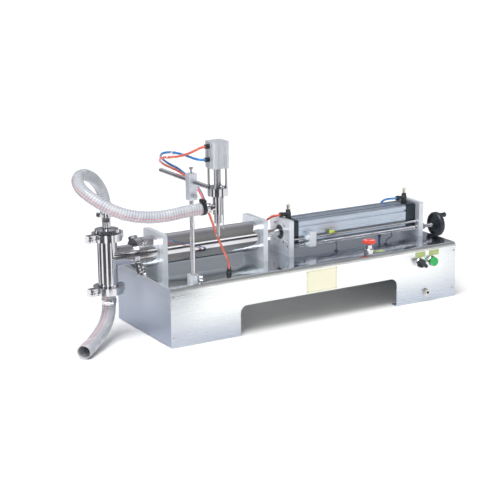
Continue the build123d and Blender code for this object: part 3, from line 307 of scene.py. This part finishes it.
def carried_frames(points):
    """Two directions square to the line at each point, carried along it without twist."""
    ahead = np.gradient(points, axis=0)
    ahead /= np.linalg.norm(ahead, axis=1, keepdims=True)
    first = np.empty_like(points)
    start = np.cross(ahead[0], (0.31, 0.94, 0.12))
    first[0] = start / np.linalg.norm(start)
    for place in range(1, len(points)):
        moved = first[place - 1] - ahead[place] * first[place - 1].dot(ahead[place])
        first[place] = moved / np.linalg.norm(moved)
    return first, np.cross(ahead, first)


def pipe_skin(name, route, stations, columns, outer, bore, shift=0.0):
    """Closed wall of a hose along its route: a ring at each station, outer(distance, angle) away from the line,
    then rings of the bore's radius all the way back."""
    points, far = run_line(route)
    along = np.linspace(0, far[-1], stations)
    centre = np.column_stack([np.interp(along, far, points[:, axis]) for axis in range(3)])
    first, second = carried_frames(centre)
    angle = np.linspace(0, 2 * np.pi, columns, endpoint=False)
    inward = np.arange(stations - 1, -1, -6)
    inward = inward if inward[-1] == 0 else np.append(inward, 0)
    picked = np.concatenate([np.arange(stations), inward])
    radius = np.where(np.arange(len(picked))[:, None] < stations, outer(along[picked][:, None], angle[None, :]), bore)
    ring = (np.cos(angle)[None, :, None] * first[picked][:, None]
            + np.sin(angle)[None, :, None] * second[picked][:, None])
    grid = centre[picked][:, None] + radius[..., None] * ring
    return grid_mesh(name, grid, wrap_rows=True, uv=along[picked], shift=shift), points, far[-1]


RIB_PITCH, RIB_DEPTH = 0.0066, 0.00035
hose_finish = finish("ribbed_clear_hose", (0.80, 0.82, 0.88), 0.22, Coat_Weight=0.5, Coat_Roughness=0.08,
                     Transmission_Weight=0.12, IOR=1.42)
run_u, run_v = hose_finish.axes(hose_finish.node("ShaderNodeUVMap", {"uv_map": "run"}))[:2]
rib = abs((run_u * (1 / RIB_PITCH) + run_v) % 1.0 - 0.5).step(0.10, 0.26)
haze = cloud(hose_finish, 30.0)
wall_colour = hose_finish.mix(rib, (0.37, 0.40, 0.46), (0.56, 0.58, 0.62))
wall_colour = hose_finish.mix(haze.step(0.4, 0.7, 0.0, 0.25), wall_colour, (0.78, 0.76, 0.75))
round_v = run_v % 1.0
stripes = (abs(round_v - 0.30) < 0.009) + (abs(round_v - 0.38) < 0.009)
hose_finish.join(hose_finish.shader.inputs["Base Color"],
                 hose_finish.mix(stripes * 0.75, wall_colour, (0.72, 0.16, 0.18)))
hose_finish.join(hose_finish.shader.inputs["Roughness"], haze.step(0.3, 0.7, 0.16, 0.30))
relief(hose_finish, rib, 0.0004, 0.6)
for hose_name, route, radius, bore, stations, shift in (("delivery_hose_wall", DELIVERY, 0.01475, 0.0123, 620, 0.5),
                                                        ("suction_hose_wall", SUCTION, 0.0185, 0.0161, 230, 0.0)):
    hose, line, length = pipe_skin(
        hose_name, route, stations, 28,
        lambda far, angle: radius - RIB_DEPTH + RIB_DEPTH * np.cos(2 * np.pi * (far / RIB_PITCH) + angle),
        bore, shift)
    hose.data.materials.append(hose_finish.material)
    if route is DELIVERY:
        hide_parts("delivery_hose")
        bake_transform(hose)
    else:
        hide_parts("suction_hose")
        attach(hose, "machine")

# ---- air tubes and sensor cables ----
# Polyurethane tube, 6 mm outside, red for closing the nozzle and blue for opening it, pushed into the
# fittings; and two thin dark cables that drop from the stroke sensors into the cabinet.
RED = [(-392, -255, 527), (-410, -255, 527), (-420, -238, 516), (-427, -210, 504), (-435, -180, 494),
       (-445, -148, 489), (-448, -118, 483), (-441, -90, 473), (-422, -66, 459), (-395, -48, 444),
       (-366, -34, 431), (-341, -30, 414), (-326, -44, 398), (-321, -68, 382), (-321, -90, 365),
       (-319, -108, 343), (-314, -117, 319), (-306, -121, 293), (-295, -121, 262), (-283, -118, 237),
       (-268, -113, 211), (-256, -109, 188), (-256, -109, 162)]
BLUE = [(-392, -255, 495), (-410, -255, 495), (-419, -235, 496), (-421, -206, 498), (-424, -166, 499),
        (-433, -130, 498), (-437, -98, 490), (-429, -72, 477), (-408, -51, 462), (-383, -36, 446),
        (-354, -20, 432), (-330, -14, 413), (-313, -28, 397), (-309, -52, 378), (-309, -76, 358),
        (-309, -92, 335), (-305, -102, 312), (-298, -107, 287), (-287, -107, 258), (-275, -104, 233),
        (-261, -101, 208), (-248, -95, 186), (-248, -95, 162)]
LEFT_VALVE = [(-20, 5, 262.5), (-36, 5, 262.5), (-49, 17, 258), (-54, 35, 246), (-52, 51, 228), (-48, 60, 207),
              (-46, 62, 185), (-46, 62, 162)]
RIGHT_VALVE = [(369, 5, 262.5), (353, 5, 262.5), (340, 17, 261), (334, 36, 254), (335, 52, 238), (339, 60, 216),
               (342, 62, 188), (342, 62, 162)]
LEFT_CABLE = [(114.2, -11, 182), (123, -11, 182), (129, -17, 177), (130, -28, 171.5), (126, -40, 169),
              (119, -50, 168), (113.5, -56, 164.5), (112, -58, 157)]
RIGHT_CABLE = [(304.2, -11, 182), (313, -11, 182), (319, -19, 176), (316, -34, 170), (307, -45, 168.5),
               (296, -54, 168), (285, -61, 169.5), (276, -66, 168), (271, -68.6, 163), (270, -69, 156)]


def flexible(name, replaced, route, diameter, stations, colour, shade, gloss):
    """A plain round tube or cable along its route, its colour a little uneven along the run."""
    tube, line, length = pipe_skin(name, route, stations, 16,
                                   lambda far, angle: diameter / 2, diameter * 0.3)
    look = finish(name, colour, gloss, Coat_Weight=0.3, IOR=1.5)
    uneven = cloud(look, 45.0)
    look.join(look.shader.inputs["Base Color"], look.mix(uneven.step(0.3, 0.7), shade, colour))
    look.join(look.shader.inputs["Roughness"], uneven.step(0.3, 0.7, gloss * 0.7, gloss * 1.3))
    tube.data.materials.append(look.material)
    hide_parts(replaced)
    return tube


red = flexible("red_air_tube", "red_tube", RED, 0.006, 420, (0.76, 0.17, 0.11),
               (0.62, 0.11, 0.07), 0.25)
blue = flexible("blue_air_tube", "blue_tube", BLUE, 0.006, 420, (0.05, 0.26, 0.62),
                (0.02, 0.15, 0.45), 0.25)
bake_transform(red)
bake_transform(blue)
for lead_name, cad_node, route, width, stations, lead_slot, colour, shade, gloss in (
    ("left_sensor_lead", "sensor_cables", LEFT_CABLE, 0.003, 120, "cable_dark", (0.05, 0.07, 0.16),
     (0.02, 0.03, 0.08), 0.4),
    ("right_sensor_lead", "sensor_cables", RIGHT_CABLE, 0.003, 120, "cable_dark", (0.05, 0.07, 0.16),
     (0.02, 0.03, 0.08), 0.4),
    ("red_valve_tube", "valve_tubes", LEFT_VALVE, 0.006, 140, "tube_red", (0.78, 0.13, 0.07),
     (0.60, 0.07, 0.04), 0.25),
    ("blue_valve_tube", "valve_tubes", RIGHT_VALVE, 0.006, 140, "tube_blue", (0.05, 0.26, 0.62),
     (0.02, 0.15, 0.45), 0.25),
):
    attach(flexible(lead_name, cad_node, route, width, stations, colour, shade, gloss),
            "machine")

# ---- cabinet shell and end panels ----
# Stainless sheet 2 mm thick: the top, front and back are one bent piece, brushed along its length, with a
# mirror finish on the top; a panel closes each end and is fixed by small screws.


def dress(node, graph, crease=32):
    """Gives a CAD node its finish; its triangles are joined and creased again for shading only."""
    part = nodes[node]
    part.data.materials.clear()
    part.data.materials.append(graph.material)
    part.data.shade_smooth()
    weld = part.modifiers.new("join", "WELD")
    weld.merge_threshold = 0.00001
    split = part.modifiers.new("crease", "EDGE_SPLIT")
    split.split_angle = math.radians(crease)


def brushed(name, colour, roughness, stretch, depth=0.00003, metallic=1.0, **fixed):
    """Steel brushed one way: grain lines drawn out by the stretch vary its roughness and its surface."""
    graph = finish(name, colour, roughness, metallic, **fixed)
    grain = cloud(graph, 900.0, 2.0, stretch)
    wear = cloud(graph, 9.0, 4.0)
    graph.join(graph.shader.inputs["Roughness"],
               grain.step(0.3, 0.7, roughness * 0.75, roughness * 1.2) + wear.step(0.35, 0.7, -0.02, 0.04))
    relief(graph, grain, depth, 0.5)
    graph.grain, graph.wear = grain, wear
    return graph


shell = brushed("brushed_cabinet", (0.75, 0.76, 0.79), 0.30, (0.004, 1, 1))
# Upward faces: they take the mirror finish's lower roughness and a painted darker colour.
facing = shell.axes(shell.node("ShaderNodeNewGeometry", output="Normal"))[2].step(0.55, 0.9)
shell_x, shell_z = shell.axes(shell.place)[::2]
# Painted shade: the front and back of the sheet are coloured blue-grey low down, darker towards the floor.
sheet = shell.mix(shell_z.step(0.0, 0.10), (0.44, 0.49, 0.57), (0.92, 0.94, 0.93))
# Painted shade: the front and back also turn darker and bluer towards both ends.
sheet = shell.mix(shell_x.step(-0.33, -0.45, 0.0, 0.55) + shell_x.step(0.34, 0.46, 0.0, 0.4), sheet, (0.50, 0.54, 0.62))
sheet = shell.mix(shell.grain.step(0.25, 0.75, 0.0, 0.22), sheet, (0.96, 0.97, 0.97))
# Painted shade: the top of the same sheet is coloured much darker than its front and back, mottled at random.
top_sheet = shell.mix(shell.wear.step(0.3, 0.7), (0.60, 0.63, 0.68), (0.70, 0.73, 0.78))
# Painted reflection: the top is coloured lighter towards its left end.
top_sheet = shell.mix(shell_x.step(0.05, -0.25), top_sheet, (0.86, 0.91, 0.92))
shell.join(shell.shader.inputs["Base Color"], shell.mix(facing, sheet, top_sheet))
shell.join(shell.shader.inputs["Roughness"],
           shell.grain.step(0.3, 0.7, 0.24, 0.34) - facing * 0.17 + shell.wear.step(0.4, 0.7, 0.0, 0.03))
dress("base_shell", shell)
panel = brushed("brushed_end_panel", (0.40, 0.44, 0.53), 0.42, (1, 0.004, 1), metallic=0.85)
panel_z = panel.axes(panel.place)[2]
# Painted shade: the end panels are coloured darker low down and lighter towards the top, over random mottling.
panel.join(panel.shader.inputs["Base Color"], panel.mix(
    panel_z.step(0.0, 0.15), panel.mix(panel.wear, (0.34, 0.38, 0.47), (0.40, 0.44, 0.53)), (0.46, 0.50, 0.58)))
dress("end_panels", panel)

# ---- screws and other turned steel ----
# Zinc-plated and stainless screws, posts and springs, turned: fine rings and a slightly dull face.
turned_steel = brushed("turned_steel", (0.50, 0.51, 0.54), 0.28, (1, 1, 1))
turned_steel.join(turned_steel.shader.inputs["Base Color"],
                  turned_steel.mix(turned_steel.wear.step(0.3, 0.7), (0.40, 0.41, 0.44), (0.62, 0.63, 0.66)))
for node in ("machine_screws", "block_screws", "suction_poppet", "discharge_poppet", "suction_spring",
             "discharge_spring", "liquid_piston", "nozzle_stem"):
    dress(node, turned_steel)

# ---- support plates, slider and clamp block ----
# Milled aluminium, satin anodised: nearly white, with faint mill marks.
satin = brushed("satin_aluminium", (0.80, 0.82, 0.86), 0.38, (1, 1, 0.05), depth=0.00002, metallic=0.55)
satin.join(satin.shader.inputs["Base Color"],
           satin.mix(satin.wear.step(0.3, 0.75), (0.66, 0.70, 0.76), (0.80, 0.83, 0.87)))
for node in ("liquid_supports", "air_supports", "slider_block", "clamp_block", "stand_socket"):
    dress(node, satin)

# ---- drawn rods of the stand ----
# Column and arm: bright drawn bar with a fine grain along each length.
drawn = brushed("drawn_bar", (0.70, 0.71, 0.74), 0.24, (1, 1, 1), depth=0.00002)
drawn.join(drawn.shader.inputs["Base Color"],
           drawn.mix(drawn.wear.step(0.3, 0.7), (0.66, 0.67, 0.70), (0.80, 0.81, 0.84)))
dress("stand_rods", drawn)

# ---- polished stainless ----
# Liquid tube, tee, ferrules, clamps, rods and nozzle: sanitary tube polished to a mirror, a little drawn
# along its length.
mirror = brushed("polished_stainless", (0.70, 0.70, 0.72), 0.09, (0.02, 1, 1), depth=0.00001)
mirror.join(mirror.shader.inputs["Base Color"],
            mirror.mix(mirror.wear.step(0.3, 0.7), (0.60, 0.60, 0.62), (0.72, 0.72, 0.74)))
for node in ("liquid_tube", "liquid_head", "tee_body", "tri_clamps", "wing_nut_upper", "wing_nut_lower",
             "wing_nut_branch", "hose_barbs", "hose_clamps", "nozzle_frame", "nozzle_body", "piston_rod", "guide_rod"):
    dress(node, mirror)

# ---- stroke screw and its knurled relatives ----
# The lead screw is a cut thread; the socket screw's head is knurled.
thread = brushed("cut_thread", (0.60, 0.61, 0.64), 0.24, (1, 1, 1))
thread_x, thread_y, thread_z = thread.axes(thread.place)
turn_angle = (thread_z - 0.181).maths("ARCTAN2", thread_y + 0.035)
ridge = abs((thread_x * 500.0 + turn_angle * (1 / (2 * math.pi))) % 1.0 - 0.5) * 2.0
relief(thread, ridge, 0.0008, 1.0)
# Painted shade: the colour goes dark in the thread's grooves and light on its crests.
thread.join(thread.shader.inputs["Base Color"], thread.mix(ridge, (0.28, 0.28, 0.31), (0.72, 0.73, 0.76)))
dress("lead_screw", thread)
knurl = brushed("knurled_head", (0.66, 0.67, 0.70), 0.2, (1, 1, 1))
criss = knurl.node("ShaderNodeTexVoronoi", {"feature": "F1"}, {"Vector": knurl.place, "Scale": 700.0})
relief(knurl, criss, 0.0004, 0.7)
dress("socket_screw", knurl)

# ---- air cylinders ----
# Extruded aluminium barrels, clear anodised with fine draw lines, black anodised end caps.
barrel = brushed("extruded_barrel", (0.48, 0.54, 0.62), 0.30, (0.003, 1, 1), depth=0.00004, metallic=0.9)
barrel.join(barrel.shader.inputs["Base Color"],
            barrel.mix(barrel.grain.step(0.3, 0.7), (0.44, 0.51, 0.60), (0.56, 0.62, 0.71)))
dress("air_barrel", barrel)
dress("air_piston", barrel)
small_barrel = brushed("nozzle_barrel", (0.80, 0.82, 0.86), 0.36, (1, 1, 0.003), depth=0.00004, metallic=0.65)
small_barrel.join(small_barrel.shader.inputs["Base Color"], small_barrel.mix(
    small_barrel.grain.step(0.3, 0.7), (0.70, 0.73, 0.78), (0.84, 0.86, 0.90)))
dress("nozzle_cylinder", small_barrel)
cap_black = finish("black_anodised", (0.012, 0.022, 0.036), 0.32, 0.35, Coat_Weight=0.15)
cap_grain = cloud(cap_black, 1400.0, 2.0)
cap_black.join(cap_black.shader.inputs["Base Color"],
               cap_black.mix(cloud(cap_black, 12.0).step(0.3, 0.7), (0.009, 0.016, 0.028), (0.022, 0.036, 0.055)))
relief(cap_black, cap_grain, 0.00004, 0.5)
for node in ("air_end_caps", "pilot_valve"):
    dress(node, cap_black)

# ---- black plastic, rubber and white polymer ----
# Moulded nylon with a fine grain for the hand wheel, fittings, knobs, bushes and sensors; nitrile seals;
# PTFE seat rings.
for name, colour, light, gloss, parts in (
    ("moulded_black", (0.014, 0.018, 0.024), (0.030, 0.036, 0.044), 0.38,
     ("hand_wheel", "crank_knob", "speed_valves", "nozzle_fittings", "selector_knob", "stroke_sensors",
      "rod_bushes", "nozzle_hose_clamp")),
    ("nitrile_seal", (0.02, 0.02, 0.022), (0.035, 0.035, 0.038), 0.6, ("piston_seals", "clamp_gaskets")),
    ("white_seat_ring", (0.82, 0.82, 0.80), (0.90, 0.90, 0.88), 0.35, ("valve_seats",)),
):
    plastic = finish(name, colour, gloss, IOR=1.5)
    plastic.join(plastic.shader.inputs["Base Color"],
                 plastic.mix(cloud(plastic, 25.0).step(0.3, 0.7), colour, light))
    moulding = cloud(plastic, 1800.0, 2.0)
    relief(plastic, moulding, 0.00006, 0.6)
    plastic.join(plastic.shader.inputs["Roughness"], moulding.step(0.3, 0.7, gloss * 0.85, gloss * 1.15))
    for node in parts:
        dress(node, plastic)

# ---- fittings through the cabinet ----
# Black push-in tube fittings and cable grommets on the top; low on the right foot, a plated air inlet.
fitting = finish("cabinet_fitting", (0.014, 0.018, 0.024), 0.35)
inlet = fitting.axes(fitting.place)[1] < -0.15
shade = fitting.mix(cloud(fitting, 25.0).step(0.3, 0.7), (0.014, 0.018, 0.024), (0.030, 0.036, 0.044))
fitting.join(fitting.shader.inputs["Base Color"], fitting.mix(inlet, shade, (0.66, 0.65, 0.62)))
fitting.join(fitting.shader.inputs["Metallic"], inlet * 1.0)
fitting.join(fitting.shader.inputs["Roughness"], inlet * -0.15 + 0.38)
relief(fitting, cloud(fitting, 1800.0), 0.00005, 0.5)
dress("cabinet_fittings", fitting)

# ---- brass needles ----
# Free-cutting brass, turned and slotted, a little tarnished.
brass = brushed("machined_brass", (0.52, 0.45, 0.32), 0.22, (1, 1, 1))
brass.join(brass.shader.inputs["Base Color"],
           brass.mix(brass.wear.step(0.3, 0.7), (0.42, 0.38, 0.30), (0.62, 0.58, 0.49)))
for node in ("needle_left", "needle_right"):
    dress(node, brass)

# ---- controls ----
# Chrome-plated bezels, a glossy red mushroom with pale turn-to-release marks, and a green push button.
dress("control_bodies", mirror)
red_cap = finish("stop_red", (0.72, 0.05, 0.03), 0.22, Coat_Weight=0.5, IOR=1.5)
stop_x, stop_y, stop_z = red_cap.axes(red_cap.place)
side_x, side_y = stop_x - 0.173, stop_y + 0.127
out = (side_x * side_x + side_y * side_y).maths("SQRT")
turn_round = side_y.maths("ARCTAN2", side_x)
ring = (abs(out - 0.0125) < 0.0012) * (stop_z > 0.190)
gaps = ((turn_round * (3 / (2 * math.pi)) + 2.0) % 1.0) < 0.72
red_cap.join(red_cap.shader.inputs["Base Color"], red_cap.mix(
    ring * gaps, red_cap.mix(cloud(red_cap, 30.0), (0.62, 0.035, 0.02), (0.80, 0.07, 0.04)), (0.85, 0.80, 0.78)))
relief(red_cap, cloud(red_cap, 1500.0), 0.00003, 0.4)
dress("stop_mushroom", red_cap)
green_cap = finish("button_green", (0.01, 0.40, 0.08), 0.25, Coat_Weight=0.4, IOR=1.5)
green_cap.join(green_cap.shader.inputs["Base Color"],
               green_cap.mix(cloud(green_cap, 60.0), (0.008, 0.32, 0.06), (0.02, 0.48, 0.11)))
relief(green_cap, cloud(green_cap, 1500.0), 0.00003, 0.4)
dress("button_cap", green_cap)

# ---- marking plates ----
# Printed aluminium: a cream name plate with a ruled frame, and three yellow-green control labels.
plates = finish("printed_plates", (0.85, 0.83, 0.62), 0.35, Coat_Weight=0.2)
plate_x, plate_z = plates.axes(plates.place)[::2]
from_side, from_middle = abs(plate_x - 0.0015), abs(plate_z - 0.113)
frame_line = ((from_side > 0.0440) + (from_middle > 0.0265)) * (from_side < 0.0455) * (from_middle < 0.0280)
cream = plates.mix(cloud(plates, 20.0), (0.84, 0.82, 0.60), (0.90, 0.88, 0.70))
cream = plates.mix((frame_line > 0.5) * 0.5, cream, (0.45, 0.42, 0.28))
lime_print = plates.mix(cloud(plates, 40.0), (0.40, 0.48, 0.17), (0.52, 0.60, 0.26))
plates.join(plates.shader.inputs["Base Color"], plates.mix(plate_x > 0.12, cream, lime_print))
dress("marking_plates", plates)

# ---- rivets of the name plate ----
# Four small domed rivets, one in each corner of the plate.


def turned(name, outline, centre, columns=32):
    """Solid of revolution on a Z axis through the centre: outline is (radius, height) pairs from axis to axis."""
    radius, height = np.array(outline, float).T
    angle = np.linspace(0, 2 * np.pi, columns, endpoint=False)
    grid = np.stack([radius[:, None] * np.cos(angle), radius[:, None] * np.sin(angle),
                     np.repeat(height[:, None], columns, axis=1)], axis=2) + np.array(centre)
    return grid_mesh(name, grid)


def joined(name, pieces):
    """One object of the pieces' meshes."""
    whole = bmesh.new()
    for piece in pieces:
        whole.from_mesh(piece.data)
        bpy.data.objects.remove(piece)
    mesh = bpy.data.meshes.new(name)
    whole.to_mesh(mesh)
    whole.free()
    made = bpy.data.objects.new(name, mesh)
    bpy.context.scene.collection.objects.link(made)
    return made


RIVET_RADIUS, RIVET_HEIGHT, RIVET_SUNK = 0.0018, 0.0011, 0.0002
dome = [(0.0, -RIVET_SUNK), (RIVET_RADIUS, -RIVET_SUNK)]
dome += [(RIVET_RADIUS * math.cos(rise), RIVET_HEIGHT * math.sin(rise)) for rise in np.linspace(0, np.pi / 2, 7)]
rivets = []
for x in (-0.0445, 0.0475):
    for z in (0.086, 0.140):
        rivet = turned("rivet", dome, (0, 0, 0), 20)
        rivet.data.transform(Matrix.Translation((x, -0.1548, z)) @ Matrix.Rotation(math.pi / 2, 4, "X"))
        rivets.append(rivet)
rivets = joined("name_plate_rivets", rivets)
rivets.data.materials.append(turned_steel.material)
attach(rivets, "machine")

# ---- thumb nut and guide rod of the nozzle ----
# A knurled nut locks the flange on its arm, and a slim polished rod beside the body carries the drip tray.
nut_turns = 24
teeth = np.linspace(0, 2 * np.pi, nut_turns * 4, endpoint=False)
levels = np.array([(0.0, 0.0), (0.0044, 0.0), (0.0052, 0.0008), (0.0052, 0.0062), (0.0044, 0.0070), (0.0026, 0.0070),
                   (0.0026, 0.0098), (0.0020, 0.0104), (0.0, 0.0104)])
knurled = levels[:, :1] * (1 - 0.05 * (levels[:, :1] > 0.005) * (np.cos(nut_turns * teeth)[None, :] < 0))
nut_grid = np.stack([knurled * np.cos(teeth), knurled * np.sin(teeth),
                     np.repeat(levels[:, 1:], len(teeth), axis=1)], axis=2) + np.array((-0.3674, -0.2727, 0.4241))
nut = grid_mesh("flange_thumb_nut", nut_grid)
slim = turned("drip_rod", [(0.0, 0.3225), (0.0011, 0.3225), (0.0016, 0.3232), (0.0016, 0.3990), (0.0030, 0.3995),
                           (0.0030, 0.4049), (0.0, 0.4049)], (-0.3608, -0.2685, 0), 24)
for piece in (nut, slim):
    piece.data.materials.append(mirror.material)
    piece.modifiers.new("crease", "EDGE_SPLIT").split_angle = math.radians(35)
    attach(piece, "head")

# ---- tie round the air tubes ----
# A white nylon tie that holds the red and the blue tube side by side where they turn back: a flat strip
# bent into a rounded box.
along_tie = np.linspace(0, 2 * np.pi, 72, endpoint=False)
across = np.array([(-0.0016, 0.0), (0.0016, 0.0), (0.0016, 0.0011), (-0.0016, 0.0011)])
long_way, thick_way, run_way = np.array((0.82, 0.0, 0.57)), np.array((-0.57, 0.0, 0.82)), np.array((0.0, 1.0, 0.0))
TIE_HALF_LENGTH, TIE_HALF_THICKNESS = 0.0135, 0.0040
to_side, to_top = [np.sign(wave) * np.abs(wave) ** 0.7 for wave in (np.cos(along_tie), np.sin(along_tie))]
loop = to_side[:, None] * long_way * TIE_HALF_LENGTH + to_top[:, None] * thick_way * TIE_HALF_THICKNESS
outward = loop / np.linalg.norm(loop, axis=1, keepdims=True)
tie_grid = (np.array((-0.437, -0.148, 0.4935)) + loop[:, None] + across[None, :, :1] * run_way
            + across[None, :, 1:] * outward[:, None])
tie = grid_mesh("tube_tie", tie_grid, wrap_rows=True)
nylon = finish("white_nylon", (0.80, 0.80, 0.78), 0.4)
nylon.join(nylon.shader.inputs["Base Color"], nylon.mix(cloud(nylon, 60.0), (0.74, 0.74, 0.72), (0.86, 0.86, 0.84)))
tie.data.materials.append(nylon.material)
tie.modifiers.new("crease", "EDGE_SPLIT").split_angle = math.radians(40)
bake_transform(tie)

# ---- marker on a sensor lead ----
# A folded yellow-green tag clipped on the lead of the left reed switch.
fold = np.linspace(0, 2 * np.pi, 28, endpoint=False)
TAG_PLACE = np.array((0.110, -0.0385, 0.2065))
tag_stations, tag_reach = 9, 0.0085
tag_run = np.linspace(-tag_reach, tag_reach, tag_stations)
tag_half_depth = 0.0007 + 0.0010 * np.cos(np.linspace(-1.2, 1.2, tag_stations))
tag_half_height = 0.0040 + 0.0008 * np.sin(np.linspace(0, 6, tag_stations))
tag_grid = np.stack([np.repeat(tag_run[:, None], len(fold), axis=1), tag_half_depth[:, None] * np.cos(fold),
                     tag_half_height[:, None] * np.sin(fold)], axis=2)
tag_grid = np.concatenate([tag_grid[:1] * (1, 0, 0), tag_grid, tag_grid[-1:] * (1, 0, 0)])
tag = grid_mesh("lead_marker", tag_grid + TAG_PLACE)
lime = finish("marker_lime", (0.55, 0.68, 0.06), 0.45)
lime.join(lime.shader.inputs["Base Color"], lime.mix(cloud(lime, 90.0), (0.46, 0.60, 0.04), (0.66, 0.76, 0.12)))
tag.data.materials.append(lime.material)
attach(tag, "machine")
